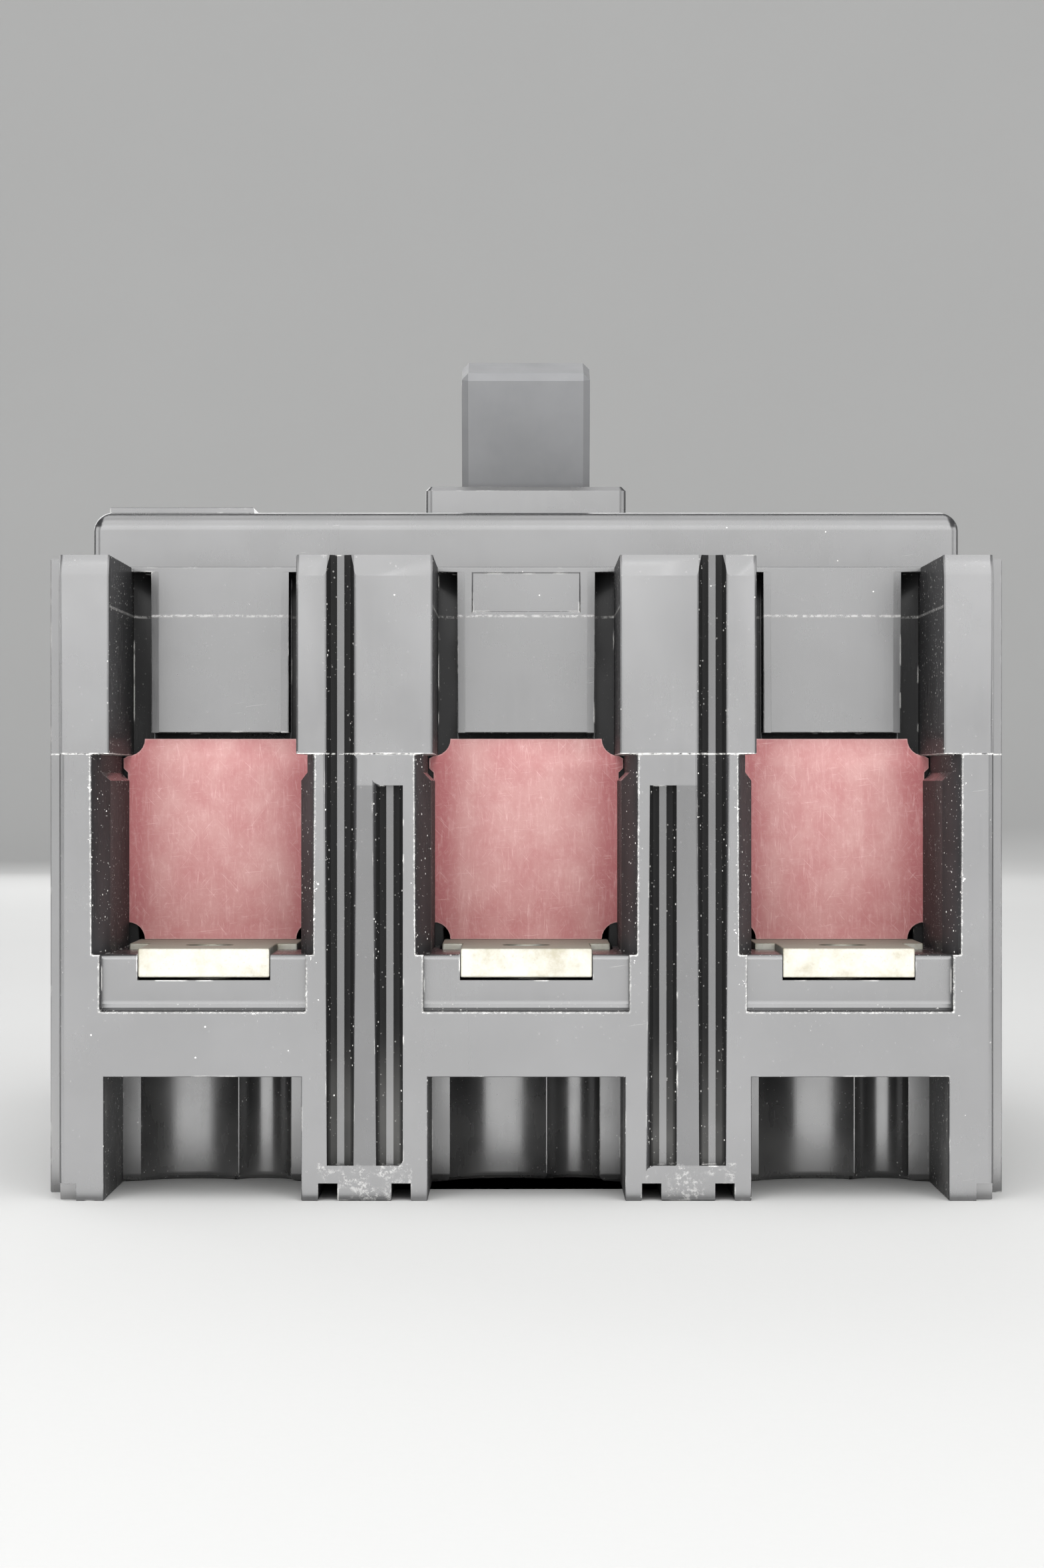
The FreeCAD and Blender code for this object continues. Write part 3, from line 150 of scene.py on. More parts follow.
class Recipe:
    """One material under construction, with its nodes and its patterns."""

    def __init__(self, name: str) -> None:
        """Start an empty material.

        Args:
            name: The material's name.
        """
        self.material = bpy.data.materials.new(name)
        self.material.use_nodes = True
        self.tree = self.material.node_tree
        self.tree.nodes.clear()
        coordinates = self.add("ShaderNodeTexCoord")
        scaled = self.add("ShaderNodeVectorMath", {"operation": "SCALE"},
                          {0: coordinates.outputs["Object"], "Scale": 1 / MM})
        self.place = scaled.outputs[0]
        self.normal = self.add("ShaderNodeNewGeometry").outputs["Normal"]

    def add(self, kind: str, settings: dict | None = None, inputs: dict | None = None) -> bpy.types.Node:
        """Add a node.

        Args:
            kind: The node's type.
            settings: Its properties.
            inputs: Values or links of its sockets, by name or number.

        Returns:
            The new node.
        """
        node = self.tree.nodes.new(kind)
        for key, setting in (settings or {}).items():
            setattr(node, key, setting)
        for key, value in (inputs or {}).items():
            self.feed(node.inputs[key], value)
        return node

    def feed(self, socket: Socket, value: object) -> None:
        """Link a socket or set its value.

        Args:
            socket: The input socket.
            value: A signal, a socket, a colour or a number.
        """
        source = value.socket if isinstance(value, Signal) else value
        if isinstance(source, Socket):
            self.tree.links.new(source, socket)
        elif isinstance(value, tuple) and socket.type == "RGBA":
            socket.default_value = (*value, 1.0)
        else:
            socket.default_value = value

    def axis(self, name: str, source: Socket | None = None) -> Signal:
        """Return X, Y or Z of the place in millimetres, or of another vector."""
        node = self.add("ShaderNodeSeparateXYZ", None, {0: source or self.place})
        return Signal(self, node.outputs[name])

    def from_pole(self) -> Signal:
        """Return the distance in millimetres from the centre line of the nearest pole."""
        pitch = POLE_PITCH / MM
        return abs((self.axis("X") + pitch / 2) % pitch - pitch / 2)

    def drawn_out(self, stretch: Triple, turn: Triple = (0.0, 0.0, 0.0)) -> Socket:
        """Return the place turned by degrees about each axis, then drawn out along the turned axes."""
        node = self.add("ShaderNodeMapping", {"vector_type": "TEXTURE"}, {
            "Vector": self.place, "Rotation": tuple(map(math.radians, turn)), "Scale": stretch})
        return node.outputs[0]

    def noise(self, size: float, detail: float = 3.0, roughness: float = 0.5, distortion: float = 0.0,
              vector: Socket | None = None) -> Signal:
        """Return noise from 0 to 1 in patches of a size in millimetres, over the place or a vector."""
        node = self.add("ShaderNodeTexNoise", None, {
            "Vector": vector or self.place, "Scale": 1 / size, "Detail": detail, "Roughness": roughness,
            "Distortion": distortion})
        return Signal(self, node.outputs[0])

    def cells(self, size: float) -> Signal:
        """Return the distance to the nearest of scattered points, as a share of their mean spacing."""
        node = self.add("ShaderNodeTexVoronoi", {"feature": "F1"}, {"Vector": self.place, "Scale": 1 / size})
        return Signal(self, node.outputs["Distance"])

    def rounded(self, radius: float) -> Socket:
        """Return the normal with edges rounded by a radius in millimetres."""
        return self.add("ShaderNodeBevel", {"samples": 4}, {"Radius": radius * MM}).outputs[0]

    def turned(self, radius: float) -> Signal:
        """Return how far rounding by a radius in millimetres turns the normal, from 0 to about 0.3."""
        node = self.add("ShaderNodeVectorMath", {"operation": "DOT_PRODUCT"},
                        {0: self.rounded(radius), 1: self.normal})
        return 1 - Signal(self, node.outputs["Value"])

    def ragged_edges(self, turn: Signal, grain: float, share: float) -> Signal:
        """Return a mask of a share of the edges, torn in a grain, from how far rounding turns them."""
        lively = self.noise(grain * 12.0, 2.0).rise(0.72 - share * 0.5, 0.80 - share * 0.5)
        return (turn * 3.6 + self.noise(grain, 4.0, 0.75) - 1.02).rise(0.0, 0.22) * lively

    def facing(self, axis: str) -> Signal:
        """Return how far the surface faces along an axis, from -1 to 1."""
        return self.axis(axis, self.normal)

    def mix(self, share: "Signal | float", first: object, second: object) -> Socket:
        """Return a blend of two colours, by the share of the second."""
        node = self.add("ShaderNodeMix", {"data_type": "RGBA"}, {0: share, 6: first, 7: second})
        return node.outputs[2]

    def bump(self, height: Signal, depth: float, under: Socket | None = None) -> Socket:
        """Return the plain normal or another with a height laid over it, to a depth in millimetres."""
        inputs = {"Strength": 1.0, "Distance": depth * MM, "Height": height}
        return self.add("ShaderNodeBump", None, inputs | ({"Normal": under} if under else {})).outputs[0]

    def surface(self, **inputs: object) -> Socket:
        """Return a surface shader, given its sockets with their words joined by underscores."""
        sockets = {key.replace("_", " "): value for key, value in inputs.items()}
        return self.add("ShaderNodeBsdfPrincipled", None, sockets).outputs[0]

    def blended(self, share: Signal, first: Socket, second: Socket) -> Socket:
        """Return a mix of two shaders, by the share of the second."""
        return self.add("ShaderNodeMixShader", None, {0: share, 1: first, 2: second}).outputs[0]

    def end(self, shader: Socket) -> Material:
        """End the material in a shader and return it."""
        self.add("ShaderNodeOutputMaterial", None, {"Surface": shader})
        return self.material

    def finish(self, **inputs: object) -> Material:
        """End the material in one surface shader, given its sockets, and return it."""
        return self.end(self.surface(**inputs))


@dataclass(frozen=True)
class Seam:
    """A thin pale line at one height, where moulds or mouldings met."""

    height: float
    width: float
    strength: float
    front: float = -80.0
    reach: float = 18.0

    def mark(self, r: Recipe) -> Signal:
        """Return the seam's mask.

        Args:
            r: The recipe that it is part of.

        Returns:
            The mask, from 0 to the seam's strength.
        """
        tears = r.noise(0.6, 4.0, 0.75)
        wander = (r.noise(3.0, 3.0) - 0.5) * self.width * 0.6
        band = abs(r.axis("Z") - self.height + wander).rise(self.width, self.width * 0.35)
        near = r.axis("Y").above(self.front) * r.from_pole().below(self.reach)
        return band * tears.rise(0.38, 0.60) * near * self.strength


@dataclass(frozen=True)
class ChippedRim:
    """Pale chips along the mouths of the recesses in the end faces, and on the feet."""

    inner: float = 10.8
    outer: float = 12.6
    foot: float = 19.9
    foot_band: float = 0.9
    head: float = 48.1
    front: float = 75.9
    feet_top: float = 4.2
    feet_half: float = 5.2

    def mark(self, r: Recipe, turn: Signal) -> Signal:
        """Return the mask of the chips.

        Args:
            r: The recipe that they are part of.
            turn: How far rounding turns the normal.

        Returns:
            The mask, from 0 to 1.
        """
        off, height, depth = r.from_pole(), r.axis("Z"), abs(r.axis("Y"))
        sides = off.above(self.inner) * height.below(self.head + 0.2, 0.2)
        foot = height.below(self.foot + self.foot_band)
        near = (sides | foot) * off.below(self.outer) * height.above(self.foot - 0.1)
        tears = r.noise(0.45, 5.0, 0.8)
        lively = r.noise(4.0, 3.0, 0.6).rise(0.36, 0.52)
        rubbed = (turn * 5.0 + tears * 2.4 - 1.55).rise(0.0, 0.35) * (lively * 0.55 + 0.45)
        rubbed = rubbed * (r.noise(0.3, 2.0).rise(0.38, 0.56) * 0.65 + 0.35)
        flakes = r.noise(1.1, 5.0, 0.7).rise(0.665, 0.69)
        rim = (rubbed * 0.85 | flakes) * near * depth.above(self.front - 0.3, 0.3)
        beside = abs(abs(r.axis("X")) - POLE_PITCH / MM / 2).below(self.feet_half)
        low = height.below(self.feet_top, 0.2) * depth.above(self.front - 1.2, 0.2)
        broken = r.noise(0.5, 5.0, 0.75).rise(0.48, 0.60) * r.noise(2.6, 2.0).rise(0.46, 0.60)
        return rim | broken * beside * low * 0.14


@dataclass(frozen=True)
class EndHollows:
    """Recesses, vent channels and grooves of the end faces, placed in millimetres from the middle, with masks
    of their unpolished walls and of the painted shading in them.
    """

    back: float = 46.0
    side: float = 50.3
    top: float = 69.6
    lift: float = 0.05
    boss_half: float = 7.86
    channel_back: float = 47.0
    channel_front: float = 50.9
    inner_groove: float = 14.756
    outer_groove: float = 20.076
    groove_half: float = 1.47
    groove_back: float = 74.0
    groove_front: float = 76.12
    groove_head: float = 44.9
    rib: float = 17.416
    rib_half: float = 1.30
    rib_front: float = 76.05
    rib_foot: float = 3.7

    def within(self, r: Recipe, lift: float) -> Signal:
        """Return the mask of what lies between the outer walls and under the ledge, raised by a lift."""
        return abs(r.axis("X")).below(self.side) * r.axis("Z").below(self.top + lift)

    def walls(self, r: Recipe) -> Signal:
        """Return the mask of the unpolished side walls of the recesses."""
        sideways = abs(r.facing("X")).rise(0.80, 0.92)
        return sideways * abs(r.axis("Y")).above(self.back) * self.within(r, self.lift)

    def recesses(self, r: Recipe) -> Signal:
        """Return the mask of everything inside the recesses."""
        return abs(r.axis("Y")).above(self.back, 0.2) * self.within(r, 0.0)

    def painted_shade_mask(self, r: Recipe) -> Signal:
        """Return the mask of near-black painted shading in the vent channels, grooves and ribs, darkest on
        the grooves' sides.

        Args:
            r: The recipe that it is part of.

        Returns:
            The mask, from 0 to 1.
        """
        depth, across = abs(r.axis("Y")), abs(r.axis("X"))
        channels = depth.below(self.channel_front) * depth.above(self.channel_back)
        channels = channels * r.from_pole().above(self.boss_half, 0.04) * self.within(r, self.lift)
        below = r.axis("Z").below(self.groove_head, 0.2)
        inner, outer = (abs(across - middle).below(self.groove_half, 0.03)
                        for middle in (self.inner_groove, self.outer_groove))
        grooves = (outer | inner * below) * depth.above(self.groove_back)
        grooves = grooves * depth.below(self.groove_front, 0.12)
        # Painted shading, stronger on the grooves' sides than on their floors.
        grooves = grooves * (abs(r.facing("X")).rise(0.25, 0.45) * 0.6 + 0.38)
        ribs = abs(across - self.rib).below(self.rib_half, 0.15) * depth.above(self.rib_front, 0.05)
        ribs = ribs * below * r.axis("Z").above(self.rib_foot, 0.2)
        return channels * 0.9 | grooves | ribs * 0.32


@dataclass(frozen=True)
class Thermoset:
    """Compression-moulded thermoset, glossy and deeply coloured, with dust on its edges and in its corners,
    and with near-black painted shading in the vent channels, grooves and ribs of its end faces where its
    walls are dulled.
    """

    colour: Colour
    cloud: Colour
    dust: Colour = (0.74, 0.73, 0.70)
    # Near-black colour of the painted shading in the vent channels, grooves and ribs.
    painted_shade: Colour = (0.003, 0.003, 0.003)
    roughness: float = 0.17
    shine: float = 0.85
    specks: float = 1.0
    wear: float = 0.5
    seams: tuple[Seam, ...] = ()
    rim: ChippedRim | None = None
    hollows: EndHollows = EndHollows()
    # How dull the recess walls are; above zero it also turns on the painted shading in the vent channels,
    # grooves and ribs.
    dull_walls: float = 0.0

    def make(self, name: str) -> Material:
        """Make the material.

        Args:
            name: Its name.

        Returns:
            The material.
        """
        r = Recipe(name)
        cloudy = r.noise(13.0, 4.0, 0.6).rise(0.35, 0.7)
        streaks = r.noise(0.5, 3.0, 0.6, 0.0, r.drawn_out((1.0, 1.0, 16.0)))
        film = r.noise(9.0, 3.0, 0.5).rise(0.30, 0.80)
        marks = self.dirt(r, film)
        base = r.mix(cloudy * 0.7 + streaks * 0.3, self.colour, self.cloud)
        colour = r.mix(marks, base, self.dust)
        relief = r.bump(r.noise(11.0, 2.0, 0.4), 0.03)
        relief = r.bump(streaks, 0.0025, relief)
        glossy = r.surface(
            Base_Color=colour,
            Roughness=self.roughness + film * 0.12 + streaks * 0.07 + marks * 0.4,
            IOR=1.58,
            Specular_IOR_Level=self.shine,
            Normal=relief,
        )
        if not self.dull_walls:
            return r.end(glossy)
        # Painted shading: the vent channels, grooves and ribs take a near-black colour, under any dust, and a
        # dull surface.
        hollow = self.hollows.painted_shade_mask(r)
        shaded = r.mix(hollow, colour, r.mix(marks, self.painted_shade, self.dust))
        dull = r.surface(Base_Color=shaded, Roughness=0.75, Specular_IOR_Level=0.10)
        return r.end(r.blended(self.hollows.walls(r) * self.dull_walls | hollow, glossy, dull))

    def dirt(self, r: Recipe, film: Signal) -> Signal:
        """Return the mask of worn edges, dust, scratches and seams.

        Args:
            r: The recipe that it is part of.
            film: A cloudy mask of where dust clings.

        Returns:
            The mask, from 0 to about 1.
        """
        turn = r.turned(0.34)
        sheltered = (1 - abs(r.facing("Y")) * 0.97) * (self.hollows.recesses(r) * 0.92 + 0.08)
        dots = r.cells(0.95).rise(0.13, 0.08) | r.cells(0.5).rise(0.13, 0.08) * 0.7
        dots = dots * r.noise(4.0, 3.0, 0.7).rise(0.38, 0.52)
        grit = r.cells(3.1).rise(0.036, 0.020) * r.noise(9.0, 2.0).rise(0.40, 0.52)
        long_marks = r.noise(0.12, 0.0, 0.5, 0.2, r.drawn_out((1.0, 1.0, 34.0), (0.0, 81.0, 0.0)))
        short_marks = r.noise(0.10, 0.0, 0.5, 0.2, r.drawn_out((1.0, 1.0, 16.0), (20.0, -14.0, 0.0)))
        scratches = (long_marks | short_marks).rise(0.83, 0.89) * r.noise(10.0, 2.0).rise(0.54, 0.64) * 0.10
        low = r.axis("Z").rise(20.0, 4.0) * abs(r.axis("Y")).rise(75.8, 75.0) * (film * 0.7 + 0.3)
        marks = r.ragged_edges(turn, 0.30, self.wear) * 0.6
        marks = marks | ((dots * 0.85 | grit) * sheltered + grit * 0.5) * self.specks | scratches
        marks = marks | low * self.specks * 0.06
        for seam in self.seams:
            marks = marks | seam.mark(r)
        if self.rim:
            marks = marks | self.rim.mark(r, turn)
        return marks


@dataclass(frozen=True)
class FibreBoard:
    """Vulcanised fibre: matt, pink-red, faintly hairy, with pale cut edges, painted shading towards the sides
    and a darker tone towards the bottom.
    """

    colour: Colour = (0.39, 0.208, 0.197)
    pale: Colour = (0.58, 0.385, 0.37)
    # Darker tone of the random clouds, also the colour of the painted shading at the sides and of the darker
    # bottom.
    deep_tone_and_painted_shade: Colour = (0.275, 0.072, 0.078)
    # Distance in millimetres from a pole's centre line where the painted shading at the sides begins.
    sides: float = 6.0

    def make(self, name: str) -> Material:
        """Make the material.

        Args:
            name: Its name.

        Returns:
            The material.
        """
        r = Recipe(name)
        hairs = 0.0
        for turn, width in ((4.0, 0.13), (-11.0, 0.10), (38.0, 0.12), (-43.0, 0.10), (84.0, 0.11)):
            strand = r.noise(width * 1.4, 1.0, 0.5, 0.3, r.drawn_out((1.0, 1.0, 15.0), (0.0, turn, 0.0)))
            hairs = strand.rise(0.66, 0.82) + hairs
        cloud = r.noise(4.2, 6.0, 0.65, 0.3, r.drawn_out((1.0, 1.0, 1.3)))
        low = r.axis("Z").rise(37.0, 27.0)
        felt = r.noise(0.5, 4.0, 0.7)
        nap = r.noise(0.35, 2.0, 0.6, 0.0, r.drawn_out((1.0, 1.0, 7.0)))
        tone = r.mix(cloud.rise(0.28, 0.70) * 0.55 + 0.45, self.deep_tone_and_painted_shade, self.colour)
        # Painted shading towards the sides of each plate, and a darker tone towards the bottom.
        tone = r.mix(r.from_pole().rise(self.sides, self.sides + 3.8) * 0.8 | low * 0.35, tone, self.deep_tone_and_painted_shade)
        tone = r.mix(hairs * 0.26 + felt.rise(0.48, 0.8) * 0.24 + nap.rise(0.5, 0.8) * 0.2, tone, self.pale)
        tone = r.mix(r.turned(0.3).rise(0.0, 0.12) * 0.7, tone, self.pale)
        return r.finish(
            Base_Color=tone,
            Roughness=0.55 + felt * 0.2,
            Normal=r.bump(felt + hairs * 0.4, 0.014, r.rounded(0.12)),
        )


@dataclass(frozen=True)
class Plated:
    """Plated or bare metal with rolling lines, worn edges and uneven tarnish."""

    colour: Colour
    tarnish: Colour
    worn: Colour
    roughness: float = 0.34
    grain: Triple = (1.0, 18.0, 1.0)
    patches: float = 6.0
    upward: float = 0.0

    def make(self, name: str) -> Material:
        """Make the material.

        Args:
            name: Its name.

        Returns:
            The material.
        """
        r = Recipe(name)
        rolled = r.noise(0.14, 3.0, 0.6, 0.0, r.drawn_out(self.grain))
        stain = r.noise(self.patches, 5.0, 0.7)
        pits = r.noise(0.22, 4.0, 0.75).rise(0.58, 0.72)
        dull = stain.rise(0.42, 0.72) * 0.6 | pits * 0.5
        if self.upward:
            dull = dull | r.facing("Z").rise(0.3, 0.8) * self.upward
        tone = r.mix(dull, self.colour, self.tarnish)
        tone = r.mix(r.ragged_edges(r.turned(0.32), 0.5, 0.9), tone, self.worn)
        return r.finish(
            Base_Color=tone,
            Metallic=1.0,
            Roughness=self.roughness + rolled * 0.14 + dull * 0.15,
            Normal=r.bump(rolled + pits, 0.008, r.rounded(0.15)),
        )


@dataclass(frozen=True)
class Braid:
    """Bare copper braid, woven of fine wires, with painted shading in the gaps between them."""

    colour: Colour = (0.78, 0.36, 0.22)
    # Colour of the painted shading in the gaps of the weave.
    painted_shade: Colour = (0.30, 0.11, 0.06)

    def make(self, name: str) -> Material:
        """Make the material.

        Args:
            name: Its name.

        Returns:
            The material.
        """
        r = Recipe(name)
        weave = 0.0
        for turn in (34.0, -34.0):
            node = r.add("ShaderNodeTexWave", {"bands_direction": "X"}, {
                "Vector": r.drawn_out((1.0, 1.0, 1.0), (0.0, 0.0, turn)), "Scale": 1.3, "Distortion": 0.4})
            weave = Signal(r, node.outputs["Fac"]) * 0.5 + weave
        # The wires keep the copper colour; the gaps of the weave take the painted shading.
        return r.finish(
            Base_Color=r.mix(weave.rise(0.2, 0.7), self.painted_shade, self.colour),
            Metallic=1.0,
            Roughness=0.38 + r.noise(1.0) * 0.2,
            Normal=r.bump(weave, 0.12),
        )


@dataclass(frozen=True)
class PressedPlastic:
    """Smooth coloured plastic with fine grain and rubbed edges."""

    colour: Colour
    pale: Colour

    def make(self, name: str) -> Material:
        """Make the material.

        Args:
            name: Its name.

        Returns:
            The material.
        """
        r = Recipe(name)
        grain = r.noise(0.25, 3.0, 0.6)
        rubbed = r.noise(3.0, 3.0).rise(0.3, 0.8) * 0.4 | r.turned(0.2).rise(0.0, 0.15) * 0.6
        return r.finish(
            Base_Color=r.mix(rubbed, self.colour, self.pale),
            Roughness=0.32 + grain * 0.14,
            IOR=1.5,
            Normal=r.bump(grain, 0.006, r.rounded(0.2)),
        )


@dataclass(frozen=True)
class Paper:
    """Seamless pale studio paper."""

    colour: Colour = (0.38, 0.38, 0.376)

    def make(self, name: str) -> Material:
        """Make the material.

        Args:
            name: Its name.

        Returns:
            The material.
        """
        r = Recipe(name)
        tooth = r.noise(1.2, 4.0, 0.6)
        tone = r.mix(r.noise(160.0, 2.0), self.colour, tuple(0.96 * part for part in self.colour))
        return r.finish(Base_Color=tone, Roughness=0.85 + tooth * 0.1, Normal=r.bump(tooth, 0.02))


PARTING_LINE = Seam(48.2, 0.11, 0.50)
WITNESS_LINE = Seam(64.1, 0.20, 0.20, front=-75.9, reach=10.2)

FINISHES = {
    Slot.MOULDING: Thermoset(
        (0.009, 0.009, 0.0095), (0.020, 0.020, 0.021), wear=0.30,
        seams=(PARTING_LINE, WITNESS_LINE), rim=ChippedRim(), dull_walls=0.85),
    Slot.HANDLE: Thermoset(
        (0.072, 0.073, 0.076), (0.095, 0.096, 0.099), roughness=0.46, shine=0.45, specks=0.3, wear=0.2),
    Slot.INNER_MOULDING: Thermoset(
        (0.085, 0.040, 0.022), (0.12, 0.060, 0.034), (0.34, 0.28, 0.22), roughness=0.36, shine=0.5,
        specks=0.4),
    Slot.BUTTON: PressedPlastic((0.42, 0.020, 0.014), (0.60, 0.10, 0.07)),
    Slot.SILVERED: Plated((0.30, 0.295, 0.266), (0.20, 0.178, 0.12), (0.12, 0.095, 0.05), 0.55, upward=0.4),
    Slot.CONTACT: Plated((0.80, 0.79, 0.75), (0.55, 0.51, 0.45), (0.70, 0.66, 0.58), 0.36),
    Slot.COPPER: Plated((0.80, 0.38, 0.24), (0.46, 0.20, 0.12), (0.90, 0.50, 0.34), 0.34),
    Slot.BIMETAL: Plated(
        (0.60, 0.57, 0.52), (0.44, 0.38, 0.30), (0.72, 0.70, 0.66), 0.36, grain=(1.0, 1.0, 18.0)),
    Slot.STEEL: Plated((0.50, 0.51, 0.53), (0.36, 0.345, 0.30), (0.62, 0.62, 0.62), 0.34, upward=0.4),
    Slot.SPRING: Plated(
        (0.36, 0.36, 0.38), (0.24, 0.22, 0.20), (0.55, 0.55, 0.56), 0.28, grain=(1.0, 1.0, 1.0), patches=2.0),
    Slot.FIBRE: FibreBoard(),
}


SMOOTH_ANGLE = 34.0
WIRE_ANGLE = 60.0
LEAST_EASED = 1.0 * MM
WIRE_SIDES = 8
WIRE_STEPS = 20


class Paintshop:
    """Makes each finish once and puts it on objects."""

    made: dict[str, Material] = {}

    @classmethod
    def material(cls, name: str, finish: object) -> Material:
        """Return a material, made when it is first asked for.

        Args:
            name: The material's name.
            finish: The finish that makes it.

        Returns:
            The material.
        """
        if name not in cls.made:
            cls.made[name] = finish.make(name)
        return cls.made[name]

    @classmethod
    def paint(cls, item: Item, slot: Slot, finish: object | None = None, name: str = "") -> None:
        """Put a slot's usual finish on an object, or another finish under a name of its own."""
        item.data.materials.clear()
        item.data.materials.append(cls.material(name or slot.value, finish or FINISHES[slot]))

    @classmethod
    def paint_piece(cls, item: Item, slot: Slot) -> None:
        """Put a slot's finish on a new piece."""
        cls.paint(item, slot)


def linked(name: str, data: bpy.types.ID) -> Item:
    """Return a new object made of some data and linked into the scene."""
    item = bpy.data.objects.new(name, data)
    bpy.context.scene.collection.objects.link(item)
    return item


def smooth_object(name: str, shape: Mesh) -> Item:
    """Turn a bmesh into an object with smooth faces.

    Args:
        name: The object's name.
        shape: Its mesh, freed here.

    Returns:
        The new object.
    """
    for face in shape.faces:
        face.smooth = True
    mesh = bpy.data.meshes.new(name)
    shape.to_mesh(mesh)
    shape.free()
    return linked(name, mesh)


def new_piece(name: str, shape: Mesh, body: str, smooth_angle: float = SMOOTH_ANGLE) -> Item:
    """Turn a bmesh into a piece that rides on a body.

    Args:
        name: The piece's name.
        shape: Its mesh, freed here.
        body: The body that it rides on.
        smooth_angle: Edges that turn less than this many degrees are shaded smooth.

    Returns:
        The new object.
    """
    shape.normal_update()
    for edge in shape.edges:
        edge.smooth = edge.is_manifold and edge.calc_face_angle(0.0) < math.radians(smooth_angle)
    item = smooth_object(name, shape)
    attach(item, body)
    return item


def welded_copy(node: str) -> Mesh:
    """Copy a CAD node's mesh and weld its loose triangles into whole faces.

    Args:
        node: The node.

    Returns:
        The welded mesh.
    """
    shape = bmesh.new()
    shape.from_mesh(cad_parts[node].data)
    bmesh.ops.remove_doubles(shape, verts=shape.verts, dist=WELD)
    bmesh.ops.dissolve_limit(shape, angle_limit=FLAT, verts=shape.verts, edges=shape.edges)
    shape.normal_update()
    return shape


def ease(shape: Mesh, edges: list[Edge], radius: float, segments: int = 2, limited: bool = True) -> None:
    """Round some edges of a mesh by a radius, which shrinks where there is no room if it is limited."""
    bmesh.ops.bevel(shape, geom=edges, offset=radius, offset_type="OFFSET", segments=segments, profile=0.5,
                    affect="EDGES", clamp_overlap=limited, material=-1)
    shape.normal_update()


def outer_edges(shape: Mesh, least_length: float, least_turn: float = 50.0) -> list[Edge]:
    """Return the convex edges of a mesh above a least length and a least turn in degrees."""
    return [edge for edge in shape.edges
            if edge.is_manifold and edge.is_convex and edge.calc_face_angle(0.0) > math.radians(least_turn)
            and edge.calc_length() > least_length]


def finished_copy(shape: Mesh, node: str, name: str, body: str, smooth_angle: float = SMOOTH_ANGLE) -> Item:
    """Make a worked copy of a node into a piece that replaces it.

    Args:
        shape: The copy's mesh, freed here.
        node: The CAD node.
        name: The copy's name.
        body: The body that it rides on.
        smooth_angle: Edges that turn less than this many degrees are shaded smooth.

    Returns:
        The new object.
    """
    item = new_piece(name, shape, body, smooth_angle)
    item.modifiers.new("flat faces stay flat", "WEIGHTED_NORMAL").keep_sharp = True
    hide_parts(node)
    return item


def eased_copy(node: str, name: str, body: str, radius: float) -> Item:
    """Copy a CAD node, weld it and round its outer edges.

    Args:
        node: The CAD node, which the copy replaces.
        name: The copy's name.
        body: The body that it rides on.
        radius: Radius of the rounded edges.

    Returns:
        The new object.
    """
    shape = welded_copy(node)
    ease(shape, outer_edges(shape, LEAST_EASED), radius)
    return finished_copy(shape, node, name, body)


def wound_wire(radius: float, wire: float, turns: int, height: float) -> Mesh:
    """Wind a round wire into a spring that stands on the origin.

    Args:
        radius: Radius of the wire's centre line.
        wire: Diameter of the wire.
        turns: How many turns it has.
        height: Its height, wire included.

    Returns:
        The spring's mesh.
    """
    shape = bmesh.new()
    bmesh.ops.create_circle(shape, cap_ends=False, segments=WIRE_SIDES, radius=wire / 2)
    upright = Matrix.Translation((radius, 0.0, wire / 2)) @ Matrix.Rotation(math.pi / 2, 4, "X")
    bmesh.ops.transform(shape, matrix=upright, verts=shape.verts)
    count = turns * WIRE_STEPS
    bmesh.ops.spin(shape, geom=shape.verts[:] + shape.edges[:], cent=(0, 0, 0), axis=(0, 0, 1),
                   dvec=(0, 0, (height - wire) / count), angle=math.tau * turns, steps=count, use_merge=False,
                   use_duplicate=False)
    bmesh.ops.remove_doubles(shape, verts=shape.verts, dist=WELD / 2)
    bmesh.ops.holes_fill(shape, edges=[edge for edge in shape.edges if edge.is_boundary], sides=0)
    bmesh.ops.recalc_face_normals(shape, faces=shape.faces)
    return shape


def stand_copies(shape: Mesh, places: list[Matrix]) -> None:
    """Copy a mesh to several places inside itself.

    Args:
        shape: The mesh, at the origin.
        places: Where its copies go.
    """
    first = shape.verts[:] + shape.edges[:] + shape.faces[:]
    for place in places[1:]:
        copy = bmesh.ops.duplicate(shape, geom=first)["geom"]
        points = [part for part in copy if isinstance(part, Point)]
        bmesh.ops.transform(shape, matrix=place, verts=points)
    points = [part for part in first if isinstance(part, Point)]
    bmesh.ops.transform(shape, matrix=places[0], verts=points)


class SubAssembly:
    """A group of nodes and pieces that is built and dressed together."""

    nodes: ClassVar[dict[str, Slot]] = {}

    def build(self) -> None:
        """Build the pieces that the solids leave to the looks."""

    def dress(self) -> None:
        """Put each node's finish on it."""
        for node, slot in self.nodes.items():
            Paintshop.paint(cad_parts[node], slot)


def numbered(*stems: str) -> list[str]:
    """Return the names of nodes that every pole has."""
    return [f"{stem}_{number}" for stem in stems for number in range(1, len(POLES) + 1)]


def pole_offset(x: float) -> float:
    """Return the distance from the centre line of the nearest pole."""
    return abs((x + POLE_PITCH / 2) % POLE_PITCH - POLE_PITCH / 2)


def close(first: float, second: float) -> bool:
    """Tell whether two lengths are the same to a hundredth of a millimetre."""
    return abs(first - second) < SAME


